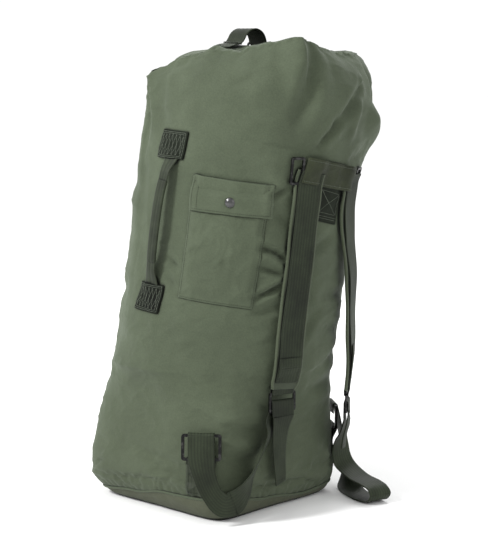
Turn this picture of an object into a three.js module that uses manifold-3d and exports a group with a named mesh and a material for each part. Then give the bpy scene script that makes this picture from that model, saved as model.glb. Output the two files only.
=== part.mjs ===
// A top-loading kit bag in nylon duck, packed full and standing on its square base.
// Millimetres, +Z up. The origin is the middle of the base on the floor.
// A bearing is an angle in degrees round the bag: 0 faces -Y (the pocket), 90 faces +X.
import * as THREE from 'three';
import Module from 'manifold-3d';
import { mergeVertices } from 'three/addons/utils/BufferGeometryUtils.js';

const wasm = await Module();
wasm.setup();

// ---------- driving dimensions ----------
const WALL = 2; // cloth walls, drawn thicker than the cloth so that they have a solid
const GAP = 0.4; // clearance between neighbouring solids
const LEAN_BEARING = 97; // the packed bag leans this way
const BASE_CORNER = 8; // bearing of one corner of the square base
const MOUTH_CORNER = 22; // bearing of one corner of the square mouth
const SEAM_Z = 42; // bottom seam, where the base cloth meets the body cloth
const MOUTH_Z = 755;
const STATIONS = [ // [height, lean, half diagonal of the outline]
  [0, 0, 187], [SEAM_Z, -11, 213], [120, -9, 209], [220, 5, 194], [400, 31, 187],
  [540, 48, 187], [640, 71, 196], [705, 75, 184], [MOUTH_Z, 76, 139],
];
const SQUARE_BELOW = 250; // the outline is square at the base and round from here up
const SQUARE_ABOVE = 675; // and turns square again from here to the mouth
const BASE_POWER = 9; // superellipse powers of the two squares
const MOUTH_POWER = 5;
const MOUTH_SIDE = 112; // centre of the mouth to the middle of its side
const AROUND = 48; // facets round the bag

const WEB_STRAP = 44; // 1 3/4 in webbing
const WEB_THICK = 2;
const LUG_THICK = 2.4;
const HOOK_WIRE = 5;

// ---------- materials ----------
const cloth = (color) => new THREE.MeshStandardMaterial({ color, roughness: 0.85, metalness: 0 });
const metal = (color) => new THREE.MeshStandardMaterial({ color, roughness: 0.4, metalness: 0.8 });
const DUCK = 0x5b6753;
const WEBBING = 0x32382e;
const PAD_CLOTH = 0x434a3c;
const BLACK_METAL = 0x1a1b1a;

// ---------- the bag's surface ----------
const rad = THREE.MathUtils.degToRad;
const vec = (x, y, z) => new THREE.Vector3(x, y, z);
const facing = (bearing) => vec(Math.sin(rad(bearing)), -Math.cos(rad(bearing)), 0);
const UP = vec(0, 0, 1);

// Smooth value of column k of STATIONS at height z, by cubic Hermite pieces.
function station(z, k) {
  const last = STATIONS.length - 1;
  let i = 0;
  while (i < last - 1 && z > STATIONS[i + 1][0]) i += 1;
  const slope = (j) => {
    const a = STATIONS[Math.max(j - 1, 0)];
    const b = STATIONS[Math.min(j + 1, last)];
    return (b[k] - a[k]) / (b[0] - a[0]);
  };
  const [p, q] = [STATIONS[i], STATIONS[i + 1]];
  const span = q[0] - p[0];
  const t = THREE.MathUtils.clamp((z - p[0]) / span, 0, 1);
  const ease = t * t * (3 - 2 * t);
  const lift = t * (1 - t) * (1 - t) * slope(i) - t * t * (1 - t) * slope(i + 1);
  return p[k] + (q[k] - p[k]) * ease + lift * span;
}

const axisAt = (z) => facing(LEAN_BEARING).multiplyScalar(station(z, 1)).setZ(z);

// Distance from the bag's own axis to its outer face at a bearing and height.
function radius(bearing, z) {
  const low = Math.max(0, 1 - z / SQUARE_BELOW);
  const high = Math.max(0, (z - SQUARE_ABOVE) / (MOUTH_Z - SQUARE_ABOVE));
  const power = 2 + (BASE_POWER - 2) * low + (MOUTH_POWER - 2) * high;
  const corner = z < 400 ? BASE_CORNER : MOUTH_CORNER;
  const turn = rad(bearing - corner + 45);
  const side = station(z, 2) / 2 ** (0.5 - 1 / power);
  const sum = Math.abs(Math.cos(turn)) ** power + Math.abs(Math.sin(turn)) ** power;
  return side / sum ** (1 / power);
}

// A point at a bearing and height, this far outside the bag's face.
function onBag(bearing, z, off) {
  return axisAt(z).add(facing(bearing).multiplyScalar(radius(bearing, z) + off));
}

// ---------- closed bodies from loops of points ----------
function closedBody(points, faces) {
  let volume = 0;
  for (const [a, b, c] of faces) {
    volume += points[a].dot(vec(0, 0, 0).crossVectors(points[b], points[c]));
  }
  const geometry = new THREE.BufferGeometry();
  const numbers = points.flatMap((p) => p.toArray());
  geometry.setAttribute('position', new THREE.Float32BufferAttribute(numbers, 3));
  geometry.setIndex(faces.flatMap(([a, b, c]) => (volume > 0 ? [a, b, c] : [a, c, b])));
  return geometry;
}

// Joins equal-length loops of points one to the next. The ends are capped, or meet when closed.
function loft(loops, closed = false) {
  const n = loops[0].length;
  const points = loops.flat();
  const faces = [];
  const strips = closed ? loops.length : loops.length - 1;
  for (let i = 0; i < strips; i += 1) {
    const here = i * n;
    const next = ((i + 1) % loops.length) * n;
    for (let j = 0; j < n; j += 1) {
      const k = (j + 1) % n;
      faces.push([here + j, here + k, next + k], [here + j, next + k, next + j]);
    }
  }
  if (!closed) {
    for (const end of [0, loops.length - 1]) {
      const middle = points.length;
      const centre = loops[end].reduce((sum, p) => sum.add(p), vec(0, 0, 0)).divideScalar(n);
      points.push(centre);
      for (let j = 0; j < n; j += 1) {
        const edge = [end * n + j, end * n + ((j + 1) % n)];
        faces.push(end === 0 ? [middle, edge[1], edge[0]] : [middle, edge[0], edge[1]]);
      }
    }
  }
  return closedBody(points, faces);
}

// One outline of the bag at a height, moved out by off.
function outline(z, off, heightOf = () => z) {
  return Array.from({ length: AROUND }, (_, i) => {
    const bearing = (i * 360) / AROUND;
    return onBag(bearing, z, off).setZ(heightOf(bearing));
  });
}

// A flat or rounded section swept along points, each with the way that its face looks.
function sweep(stops, section, steps) {
  const path = new THREE.CatmullRomCurve3(stops.map((s) => s.at), false, 'centripetal');
  const looks = new THREE.CatmullRomCurve3(stops.map((s) => s.face), false, 'centripetal');
  const sizes = stops.map((s) => s.scale ?? 1);
  const loops = [];
  for (let i = 0; i <= steps; i += 1) {
    const t = i / steps;
    const along = path.getTangent(t);
    const face = looks.getPoint(t);
    face.addScaledVector(along, -face.dot(along)).normalize();
    const across = vec(0, 0, 0).crossVectors(along, face);
    const u = t * (sizes.length - 1);
    const k = Math.min(Math.floor(u), sizes.length - 2);
    const scale = sizes[k] + (sizes[k + 1] - sizes[k]) * (u - k);
    const at = path.getPoint(t);
    const place = ([x, y]) => at.clone().addScaledVector(across, x * scale).addScaledVector(face, y);
    loops.push(section.map(place));
  }
  return loft(loops);
}

const flatSection = (width, thick) => [
  [-width / 2, -thick / 2], [width / 2, -thick / 2], [width / 2, thick / 2], [-width / 2, thick / 2],
];
const softSection = (width, thick) => [
  [-width / 2, -thick / 4], [-width / 2 + 3, -thick / 2],
  [width / 2 - 3, -thick / 2], [width / 2, -thick / 4],
  [width / 2, thick / 4], [width / 2 - 3, thick / 2], [-width / 2 + 3, thick / 2], [-width / 2, thick / 4],
];

// A stop on a strap: bearing, height, distance off the bag, and the bearing that its face looks.
const stop = (bearing, z, off, look = bearing, scale = 1) => (
  { at: onBag(bearing, z, off), face: facing(look), scale }
);

// Cloth lying on the bag between four corners given as [bearing, height].
function patch([bottomLeft, bottomRight, topRight, topLeft], inner, outer, across, up) {
  const at = (u, v, off) => {
    const mix = (k) => THREE.MathUtils.lerp(
      THREE.MathUtils.lerp(bottomLeft[k], bottomRight[k], u),
      THREE.MathUtils.lerp(topLeft[k], topRight[k], u),
      v,
    );
    return onBag(mix(0), mix(1), off);
  };
  const loops = [];
  for (let i = 0; i <= across; i += 1) {
    const loop = [];
    for (let j = 0; j <= up; j += 1) loop.push(at(i / across, j / up, outer));
    for (let j = up; j >= 0; j -= 1) loop.push(at(i / across, j / up, inner));
    loops.push(loop);
  }
  return loftWithSideCaps(loops, up);
}

// Like loft, with each end cap split as a strip, because an end's outline is long and thin.
function loftWithSideCaps(loops, up) {
  const n = loops[0].length;
  const points = loops.flat();
  const faces = [];
  for (let i = 0; i < loops.length - 1; i += 1) {
    for (let j = 0; j < n; j += 1) {
      const k = (j + 1) % n;
      const [a, b] = [i * n, (i + 1) * n];
      faces.push([a + j, a + k, b + k], [a + j, b + k, b + j]);
    }
  }
  for (const end of [0, loops.length - 1]) {
    for (let j = 0; j < up; j += 1) {
      const quad = [j, j + 1, n - 2 - j, n - 1 - j].map((m) => end * n + m);
      const [a, b, c, d] = end === 0 ? quad.toReversed() : quad;
      faces.push([a, b, c], [a, c, d]);
    }
  }
  return closedBody(points, faces);
}

// ---------- joins and cuts ----------
function toManifold(source) {
  const plain = new THREE.BufferGeometry();
  plain.setAttribute('position', source.getAttribute('position').clone());
  if (source.index) plain.setIndex(source.index.clone());
  const merged = mergeVertices(plain, 1e-4);
  return new wasm.Manifold(new wasm.Mesh({
    numProp: 3,
    vertProperties: Float32Array.from(merged.getAttribute('position').array),
    triVerts: Uint32Array.from(merged.index.array),
  }));
}

function fromManifold(solid) {
  const made = solid.getMesh();
  const geometry = new THREE.BufferGeometry();
  geometry.setAttribute('position', new THREE.Float32BufferAttribute(made.vertProperties, 3));
  geometry.setIndex(Array.from(made.triVerts));
  return geometry;
}

const join = (...shapes) => fromManifold(shapes.map(toManifold).reduce((a, b) => a.add(b)));
const cut = (whole, ...tools) => fromManifold(
  tools.map(toManifold).reduce((a, b) => a.subtract(b), toManifold(whole)),
);

// ---------- flat outlines ----------
function roundedRect(width, height, corner) {
  const [x, y, r] = [width / 2, height / 2, corner];
  const shape = new THREE.Shape();
  shape.absarc(x - r, y - r, r, 0, Math.PI / 2);
  shape.absarc(-x + r, y - r, r, Math.PI / 2, Math.PI);
  shape.absarc(-x + r, -y + r, r, Math.PI, Math.PI * 1.5);
  shape.absarc(x - r, -y + r, r, Math.PI * 1.5, Math.PI * 2);
  return shape;
}

const plate = (shape, thick) => new THREE.ExtrudeGeometry(shape, {
  depth: thick, bevelEnabled: false, curveSegments: 4,
}).translate(0, 0, -thick / 2);

// A closed rectangular ring of flat bar. x is its width, y its height.
function ring(width, height, bar, thick) {
  const shape = roundedRect(width, height, bar);
  shape.holes.push(roundedRect(width - 2 * bar, height - 2 * bar, 1));
  return plate(shape, thick);
}

// A round bar along a list of points.
function wire(points, diameter, steps, closed = false) {
  const circle = new THREE.Shape().absarc(0, 0, diameter / 2, 0, Math.PI * 2);
  const path = new THREE.CatmullRomCurve3(points.map((p) => vec(...p)), closed, 'centripetal');
  return new THREE.ExtrudeGeometry(circle, { steps, extrudePath: path, curveSegments: 4 });
}

// ---------- the assembly ----------
const bag = new THREE.Group();

function add(name, geometry, material, parent = bag) {
  const mesh = new THREE.Mesh(geometry, material);
  mesh.name = name;
  parent.add(mesh);
  return mesh;
}

// A group whose +Z looks out of the bag at a bearing, +X runs round it and +Y runs up it.
// It lies along the bag's slope, or stands upright where it hangs free.
function seat(bearing, z, off, { look = bearing, upright = false } = {}) {
  const group = new THREE.Group();
  const across = facing(look + 90);
  const rise = upright ? UP.clone() : onBag(bearing, z + 15, 0).sub(onBag(bearing, z - 15, 0));
  rise.addScaledVector(across, -rise.dot(across)).normalize();
  const out = vec(0, 0, 0).crossVectors(across, rise);
  group.matrixAutoUpdate = false;
  group.matrix.makeBasis(across, rise, out).setPosition(onBag(bearing, z, off));
  bag.add(group);
  return group;
}

// ---------- body cloth ----------
const BODY_HEIGHTS = [
  SEAM_Z + 0.5, 80, 120, 165, 210, 260, 320, 400, 470, 540, 590, 640, 675, 710, 735, MOUTH_Z,
];
const HEM_RISE = { high: 8, low: 0 }; // the front and back of the mouth stand above its sides
const hem = (bearing) => {
  const side = Math.cos(rad(2 * (bearing - MOUTH_CORNER - 45)));
  return MOUTH_Z + THREE.MathUtils.lerp(HEM_RISE.high, HEM_RISE.low, (1 + side) / 2);
};
const hemOf = (z) => (z === MOUTH_Z ? hem : () => z);
const outerWall = BODY_HEIGHTS.map((z) => outline(z, 0, hemOf(z)));
const innerWall = BODY_HEIGHTS.map((z) => outline(z, -WALL, hemOf(z))).reverse();
add('body_shell', loft([...outerWall, ...innerWall], true), cloth(DUCK));

const DISH_HEIGHTS = [0, 5, 20, SEAM_Z];
const dishInner = DISH_HEIGHTS.map((z) => outline(z, -WALL, () => Math.max(z, WALL)));
const dishOuter = DISH_HEIGHTS.map((z) => outline(z, 0)).reverse();
add('bottom_panel', loft([...dishInner, ...dishOuter]), cloth(DUCK));

const WELT = 2.4; // half width of the binding on the bottom seam
const WELT_OFF = GAP + 0.3; // its inner face over the wall, clear of the facets
const weltLoops = Array.from({ length: AROUND }, (_, i) => {
  const bearing = (i * 360) / AROUND;
  return [[0, -WELT], [WELT, -WELT / 2], [WELT, WELT / 2], [0, WELT]].map(
    ([out, rise]) => onBag(bearing, SEAM_Z, WELT_OFF + out).setZ(SEAM_Z + rise),
  );
});
add('bottom_welt', loft(weltLoops, true), cloth(WEBBING));

// ---------- pocket and its flap ----------
const POCKET = [[-23, 371], [16, 355], [18.4, 548], [-22.6, 566]];
const POCKET_DEPTH = { skin: 1, backIn: 2.4, frontIn: 10.8, front: 12.2 };
const CAVITY = [[-22.2, 373.4], [15.2, 357.4], [17.6, 558], [-21.8, 576]];
add('pocket_body', cut(
  patch(POCKET, POCKET_DEPTH.skin, POCKET_DEPTH.front, 14, 5),
  patch(CAVITY, POCKET_DEPTH.backIn, POCKET_DEPTH.frontIn, 14, 5),
), cloth(DUCK));

const FLAP = [[-21.4, 516], [20, 502], [19.6, 557.2], [-23.4, 573.2]];
const FLAP_SEAM = [[-23.4, 575], [19.6, 559], [19.6, 562], [-23.4, 578]];
const FLAP_OFF = { inner: 15.4, outer: 16.8 };
add('pocket_flap', patch(FLAP, FLAP_OFF.inner, FLAP_OFF.outer, 14, 2), cloth(DUCK));
add('flap_seam_strip', patch(FLAP_SEAM, 1, 15.2, 14, 1), cloth(DUCK));

const SNAP = { bearing: -1, z: 530 };
const snapGroup = (off) => seat(SNAP.bearing, SNAP.z, off);
const disc = (profile) => new THREE.LatheGeometry(
  profile.map(([r, y]) => new THREE.Vector2(r, y)), 20,
).rotateX(Math.PI / 2);
const SNAP_GAP = 0.5; // between the snap's turned parts and the flat chords of the cloth
const CAP_PROFILE = [[0, 0], [7.6, 0], [7.6, 1], [6, 2.2], [0, 3]]; // [radius, height] of each turned part
const SOCKET_PROFILE = [[4, -1.6], [6, -1.6], [6, 0], [4, 0], [4, -1.6]];
const STUD_PROFILE = [[0, 0], [3.4, 0], [3.4, 1.5], [0, 1.8]];
add('snap_cap', disc(CAP_PROFILE), metal(BLACK_METAL), snapGroup(FLAP_OFF.outer + SNAP_GAP));
add('snap_socket', disc(SOCKET_PROFILE), metal(BLACK_METAL), snapGroup(FLAP_OFF.inner - SNAP_GAP));
add('snap_stud', disc(STUD_PROFILE), metal(BLACK_METAL), snapGroup(POCKET_DEPTH.front + GAP));

// ---------- side carrying handle ----------
const HANDLE_SECTION = flatSection(28, 4);
add('handle_end_upper', sweep([
  stop(-39, 643, 4, -39, 1.7), stop(-39, 606, 4, -39, 1.7), stop(-39, 594, 8, -39, 1.3), stop(-39, 585, 15),
], HANDLE_SECTION, 10), cloth(WEBBING));
add('handle_end_lower', sweep([
  stop(-40, 345, 4, -40, 1.7), stop(-40, 388, 4, -40, 1.7), stop(-40, 398, 8, -40, 1.3), stop(-40, 406, 15),
], HANDLE_SECTION, 10), cloth(WEBBING));
add('handle_grip', sweep([
  stop(-39, 577, 19), stop(-39, 550, 25), stop(-39.5, 495, 28), stop(-40, 440, 25), stop(-40, 414, 19),
], flatSection(28, 6), 12), cloth(WEBBING));

// ---------- yoke: the band, its rings and the webbing that anchors both shoulder straps ----------
const YOKE_WEB = [[45, 497], [61, 485], [61, 572], [45, 588]];
const YOKE_BAND = [[33.5, 556], [71.5, 534], [71.5, 578], [33.5, 600]];
add('yoke_anchor_webbing', patch(YOKE_WEB, 2, 4, 6, 5), cloth(WEBBING));
add('yoke_band', patch(YOKE_BAND, 4.6, 6.8, 14, 3), cloth(WEBBING));

const YOKE_RING = { width: 24, height: 46, bar: 4, thick: 4 };
const yokeRing = () => ring(YOKE_RING.width, YOKE_RING.height, YOKE_RING.bar, YOKE_RING.thick);
add('yoke_ring_left', yokeRing(), metal(BLACK_METAL), seat(28.2, 580, 5));
add('yoke_ring_right', yokeRing(), metal(BLACK_METAL), seat(76, 555, 5));

// ---------- shoulder straps ----------
const PAD_WIDE = 53;
const PAD_THICK = 7;
const PAD_WEB = 41; // the webbing sewn along each pad
const ADJUSTER = { width: 52, height: 34, bar: 4, thick: 3.4 };
const SIDES = {
  left: {
    pad: [
      stop(37, 540, 6.5), stop(37.6, 480, 7), stop(37.2, 400, 9), stop(36.6, 320, 13),
      stop(36.8, 262, 17.5), stop(37.2, 224, 20),
    ],
    adjuster: { bearing: 38.9, z: 197, off: 21, look: 38.9 },
    tail: [
      stop(39.6, 176, 26, 40), stop(41.2, 146, 23, 46), stop(43.6, 98, 19, 54), stop(46, 48, 16, 60),
    ],
    lower: [
      stop(36.6, 175, 15, 48), stop(32.5, 140, 15, 78), stop(27, 104, 14, 84), stop(21, 74, 14, 74),
      stop(15, 48, 16, 44), stop(9.5, 33, 18, 20), stop(5, 56, 18, 8), stop(3, 110, 17, 2),
      stop(1.5, 150, 16, 2),
    ],
    ringBearing: 1.5,
  },
  right: {
    pad: [
      stop(70, 520, 6.5), stop(73, 460, 11), stop(77, 400, 18), stop(81, 320, 24), stop(84, 260, 29),
      stop(86, 197, 33),
    ],
    adjuster: { bearing: 87, z: 170, off: 34, look: 89 },
    tail: [
      stop(86, 149, 42, 89), stop(85, 130, 42, 87), stop(84, 110, 41, 85), stop(83.5, 90, 40, 83),
    ],
    lower: [
      { at: vec(221, -8, 141), face: facing(86) }, { at: vec(214, 2, 116), face: facing(68) },
      { at: vec(213, 14, 84), face: facing(52) }, { at: vec(219, 18, 54), face: vec(0.5, -0.6, 0.6) },
      { at: vec(244, -8, 36), face: vec(0.1, -0.2, 2) }, { at: vec(269, -40, 33), face: vec(0.1, -0.2, 2) },
      { at: vec(281, -54, 28), face: vec(0.5, -0.6, 0.8) }, { at: vec(286, -60, 18), face: vec(3, -4, 0) },
      { at: vec(281, -54, 7), face: vec(0.4, -0.5, -0.7) }, { at: vec(268, -38, 3), face: vec(0, 0, -1) },
      { at: vec(246, -6, 2.6), face: vec(0, 0, -1) }, { at: vec(230, 34, 5), face: vec(0.1, 0.1, -1) },
      { at: vec(224, 54, 34), face: vec(0.9, 0.4, -0.4) }, { at: vec(214, 56, 90), face: facing(105) },
      { at: vec(208, 56, 153), face: facing(105) },
    ],
    ringBearing: 105,
  },
};
const TAB_HALF = 7.4; // half the anchor tab's width, in degrees round the bag
const TAB = { foot: 48, top: 108 };
const LOWER_RING = { width: 66, height: 44, bar: 5, thick: 4.5, z: 131, off: 9 };

for (const [side, strap] of Object.entries(SIDES)) {
  const lifted = strap.pad.map((s) => ({
    ...s, at: s.at.clone().addScaledVector(s.face, (PAD_THICK + WEB_THICK) / 2 + GAP),
  }));
  add(`shoulder_pad_${side}`, sweep(strap.pad, softSection(PAD_WIDE, PAD_THICK), 22), cloth(PAD_CLOTH));
  add(`pad_webbing_${side}`, sweep(lifted, flatSection(PAD_WEB, WEB_THICK), 22), cloth(WEBBING));
  const { bearing, z, off, look } = strap.adjuster;
  const frame = seat(bearing, z, off, { look, upright: true });
  const adjuster = ring(ADJUSTER.width, ADJUSTER.height, ADJUSTER.bar, ADJUSTER.thick);
  add(`adjuster_frame_${side}`, adjuster, metal(BLACK_METAL), frame);
  const slot = ADJUSTER.width - 2 * ADJUSTER.bar - 2 * GAP;
  add(`adjuster_bar_${side}`, plate(roundedRect(slot, 6, 1.5), 3), metal(BLACK_METAL), frame);
  add(`strap_tail_${side}`, sweep(strap.tail, flatSection(WEB_STRAP - 2, WEB_THICK), 12), cloth(WEBBING));
  add(`lower_strap_${side}`, sweep(strap.lower, flatSection(WEB_STRAP - 2, WEB_THICK), 48), cloth(WEBBING));
  const at = strap.ringBearing;
  const low = LOWER_RING;
  const lowerRing = ring(low.width, low.height, low.bar, low.thick);
  add(`lower_ring_${side}`, lowerRing, metal(BLACK_METAL), seat(at, low.z, low.off));
  const [west, east] = [at - TAB_HALF, at + TAB_HALF];
  const tab = [[west, TAB.foot], [east, TAB.foot], [east, TAB.top], [west, TAB.top]];
  add(`anchor_tab_${side}`, patch(tab, 1, 3.2, 6, 3), cloth(WEBBING));
}

// ---------- the mouth: four lugs folded in over it ----------
const HINGE = { sides: 761, ends: 769 }; // the front and back lugs fold in over the side ones
const LUG = { start: 4, foot: 84, tip: 26, reach: 102, stapleReach: 118, corner: 10 };
const GROMMET = { v: 84, bore: 7, barrel: 8.2, flange: 11.5, stretch: 1.5 };
const STAPLE = { v: 88, width: 16, height: 19, wire: 4 };

// A group on one side of the mouth: +X along the side, +Y in towards the middle, +Z up.
function mouthSide(bearing, z) {
  const group = new THREE.Group();
  group.matrixAutoUpdate = false;
  const at = axisAt(MOUTH_Z).setZ(z).addScaledVector(facing(bearing), MOUTH_SIDE);
  group.matrix.makeBasis(facing(bearing + 90), facing(bearing + 180), UP).setPosition(at);
  bag.add(group);
  return group;
}

function lugOutline(reach) {
  const slope = (LUG.foot - LUG.tip) / (LUG.reach - LUG.start);
  const tip = LUG.foot - slope * (Math.min(reach, LUG.reach) - LUG.start);
  const r = LUG.corner;
  const shape = new THREE.Shape();
  shape.moveTo(-LUG.foot, LUG.start);
  shape.lineTo(LUG.foot, LUG.start);
  shape.lineTo(tip + r * slope, reach - r);
  shape.quadraticCurveTo(tip, reach, tip - r, reach);
  shape.lineTo(-tip + r, reach);
  shape.quadraticCurveTo(-tip, reach, -tip - r * slope, reach - r);
  shape.closePath();
  return shape;
}

function lug(name, bearing, z) {
  const side = mouthSide(bearing, z);
  const shape = lugOutline(LUG.reach);
  const hole = new THREE.Path();
  const play = GROMMET.barrel + 0.8;
  hole.absellipse(0, GROMMET.v, play * GROMMET.stretch, play, 0, Math.PI * 2);
  shape.holes.push(hole);
  add(`lug_${name}`, plate(shape, LUG_THICK), cloth(DUCK), side);
  const [low, high, lip] = [-LUG_THICK / 2 - 0.3, LUG_THICK / 2 + 0.3, 0.8];
  const profile = [
    [GROMMET.bore, low - lip], [GROMMET.flange, low - lip], [GROMMET.flange, low], [GROMMET.barrel, low],
    [GROMMET.barrel, high], [GROMMET.flange, high], [GROMMET.flange, high + lip],
    [GROMMET.bore, high + lip],
    [GROMMET.bore, low - lip],
  ];
  const oval = disc(profile).scale(GROMMET.stretch, 1, 1).translate(0, GROMMET.v, 0);
  add(`grommet_${name}`, oval, metal(BLACK_METAL), side);
  return side;
}

const frontBearing = MOUTH_CORNER - 45;
const frontSide = lug('front', frontBearing, HINGE.ends);
lug('right', frontBearing + 90, HINGE.sides);
lug('back', frontBearing + 180, HINGE.ends);

const leftSide = mouthSide(frontBearing + 270, HINGE.sides);
add('lug_left', plate(lugOutline(LUG.stapleReach), LUG_THICK), cloth(DUCK), leftSide);
const half = STAPLE.width / 2;
const stapleWire = wire([
  [-half, STAPLE.v, 0], [-half, STAPLE.v, STAPLE.height - 5], [-half + 3, STAPLE.v, STAPLE.height],
  [half - 3, STAPLE.v, STAPLE.height], [half, STAPLE.v, STAPLE.height - 5], [half, STAPLE.v, 0],
], STAPLE.wire, 16).translate(0, 0, 2.6);
const staplePlate = plate(roundedRect(32, 16, 4), 1.4).translate(0, STAPLE.v, 2.4);
add('closure_staple', join(staplePlate, stapleWire), metal(BLACK_METAL), leftSide);

// ---------- closure strap and snap hook, on the front lug ----------
const STRAP_LIFT = LUG_THICK / 2 + GAP;
const closurePatch = plate(roundedRect(50, 26, 1), WEB_THICK).translate(0, 19, STRAP_LIFT + WEB_THICK / 2);
add('closure_patch', closurePatch, cloth(WEBBING), frontSide);
const arch = [[34, 3.4], [35, 20], [44, 36], [56, 38.5], [68, 34], [76, 20], [78, 8]];
const archStops = arch.map(([y, z], i) => {
  const [before, after] = [arch[Math.max(i - 1, 0)], arch[Math.min(i + 1, arch.length - 1)]];
  return { at: vec(0, y, z), face: vec(0, -(after[1] - before[1]), after[0] - before[0]).normalize() };
});
add('closure_strap', sweep(archStops, flatSection(WEB_STRAP, WEB_THICK), 20), cloth(WEBBING), frontSide);

// Flat snap hook: an eye for the webbing, a shank and a hook whose mouth the gate closes.
const HOOK = { y: 88, z: 6.5, eyeWidth: 46, eyeHeight: 14 };
const eyeShape = roundedRect(HOOK.eyeWidth, HOOK.eyeHeight, 4);
eyeShape.holes.push(roundedRect(HOOK.eyeWidth - 8, HOOK.eyeHeight - 8, 2));
const eye = plate(eyeShape, HOOK_WIRE).translate(0, HOOK.y, HOOK.z);
const bend = [
  [0, 5], [0, 11], [-5, 18], [-11, 27], [-12, 37], [-6, 46], [3, 47], [10, 41], [11, 35],
].map(([x, y]) => [x, HOOK.y + y, HOOK.z]);
add('snap_hook_body', join(eye, wire(bend, HOOK_WIRE, 28)), metal(BLACK_METAL), frontSide);
const gate = [[10, 9.5], [10.6, 20], [11, 33]].map(([x, y]) => [x, HOOK.y + y, HOOK.z]);
add('snap_hook_gate', wire(gate, 3.6, 4), metal(BLACK_METAL), frontSide);

export default bag;
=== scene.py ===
"""A packed top-loading duffel bag: the looks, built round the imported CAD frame. Metres, +Z up.

A bearing is an angle in degrees round the bag: 0 faces -Y (the pocket), 90 faces +X.
"""

import math

import bmesh
import bpy
import numpy as np
from mathutils import Matrix, Vector, noise
from mathutils.bvhtree import BVHTree


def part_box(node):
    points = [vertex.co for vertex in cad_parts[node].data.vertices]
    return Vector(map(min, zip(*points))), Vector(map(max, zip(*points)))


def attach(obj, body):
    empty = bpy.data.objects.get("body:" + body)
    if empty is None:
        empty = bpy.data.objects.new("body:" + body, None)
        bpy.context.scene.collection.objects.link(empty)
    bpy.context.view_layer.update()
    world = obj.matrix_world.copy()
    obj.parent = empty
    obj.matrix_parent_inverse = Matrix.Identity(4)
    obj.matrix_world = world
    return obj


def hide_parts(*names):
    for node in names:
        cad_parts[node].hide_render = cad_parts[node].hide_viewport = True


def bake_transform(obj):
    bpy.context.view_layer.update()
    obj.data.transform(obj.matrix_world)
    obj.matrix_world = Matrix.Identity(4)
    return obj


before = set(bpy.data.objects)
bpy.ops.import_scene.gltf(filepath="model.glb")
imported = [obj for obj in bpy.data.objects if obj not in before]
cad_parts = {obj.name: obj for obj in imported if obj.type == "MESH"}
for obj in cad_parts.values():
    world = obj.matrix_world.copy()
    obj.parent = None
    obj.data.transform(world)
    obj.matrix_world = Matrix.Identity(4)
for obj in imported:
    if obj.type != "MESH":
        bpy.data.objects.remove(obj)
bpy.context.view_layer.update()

# ---------- driving dimensions, in metres ----------
MM = 0.001
LEAN_BEARING = 97
BASE_CORNER = 8
MOUTH_CORNER = 22
SHOULDER_Z = 0.655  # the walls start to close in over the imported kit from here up
# height, lean and half diagonal of the bag's outline, in mm
STATIONS = np.array([
    (0, 0, 187), (42, -11, 213), (120, -9, 209), (220, 5, 194), (400, 31, 187),
    (540, 48, 187), (640, 71, 196), (705, 75, 184), (755, 76, 139),
]) * MM
SQUARE_BELOW, SQUARE_ABOVE, MOUTH_Z = 0.25, 0.675, 0.755
BASE_POWER, MOUTH_POWER = 9, 5
# the hem of the mouth: bearing, and distance from the axis and height in mm
HEM = [
    (-30, 127, 780), (-20, 128, 774), (-11, 130, 772), (0, 134, 781), (12, 138, 786), (27, 152, 794),
    (36, 148, 786), (48, 136, 777), (67, 128, 769),
    (88, 142, 770), (108, 158, 766), (120, 144, 763), (135, 128, 764), (157, 122, 768), (180, 129, 767),
    (202, 151, 762), (225, 128, 757), (247, 125, 752), (272, 152, 740), (290, 193, 729), (300, 177, 745),
    (310, 158, 761), (322, 142, 768),
]
# how high the bottom seam runs (bearing, mm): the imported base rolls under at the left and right
SEAM = [(8, 43), (40, 26), (75, 14), (105, 22), (150, 30), (188, 34), (240, 28), (278, 15), (310, 27),
        (340, 40)]
WEB_THICK, CLOTH_THICK = 1.8 * MM, 1.2 * MM


def crinkle(point, stretch, seed):
    """Fine creases: sharp little ridges, none of them long."""
    p = Vector((point[0] * stretch[0] + seed, point[1] * stretch[1], point[2] * stretch[2]))
    warp = noise.noise_vector(p * 0.6) * 0.8
    return (1 - abs(noise.noise(p + warp))) ** 6 - 0.25


def smooth(x):
    x = np.clip(x, 0, 1)
    return x * x * (3 - 2 * x)


def facing(bearing):
    a = math.radians(bearing)
    return Vector((math.sin(a), -math.cos(a), 0))


# ---------- the bag's surface ----------
def station(z, k):
    """Smooth value of column k of STATIONS at height z, by cubic Hermite pieces."""
    last = len(STATIONS) - 1
    i = int(np.clip(np.searchsorted(STATIONS[:, 0], z) - 1, 0, last - 1))

    def slope(j):
        a, b = STATIONS[max(j - 1, 0)], STATIONS[min(j + 1, last)]
        return (b[k] - a[k]) / (b[0] - a[0])

    p, q = STATIONS[i], STATIONS[i + 1]
    span = q[0] - p[0]
    t = min(max((z - p[0]) / span, 0), 1)
    lift = t * (1 - t) ** 2 * slope(i) - t * t * (1 - t) * slope(i + 1)
    return p[k] + (q[k] - p[k]) * t * t * (3 - 2 * t) + lift * span


def axis_at(z):
    return facing(LEAN_BEARING) * station(z, 1) + Vector((0, 0, z))


def radius(bearing, z):
    low = max(0, 1 - z / SQUARE_BELOW)
    high = max(0, (z - SQUARE_ABOVE) / (MOUTH_Z - SQUARE_ABOVE))
    power = 2 + (BASE_POWER - 2) * low + (MOUTH_POWER - 2) * high
    corner = BASE_CORNER if z < 0.4 else MOUTH_CORNER
    turn = math.radians(bearing - corner + 45)
    side = station(z, 2) / 2 ** (0.5 - 1 / power)
    return side / (abs(math.cos(turn)) ** power + abs(math.sin(turn)) ** power) ** (1 / power)


def plain(bearing, z, off=0.0):
    """A point on the bag's smooth outline, the same as the CAD model's, moved out by off."""
    return axis_at(z) + facing(bearing) * (radius(bearing, z) + off)


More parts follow.
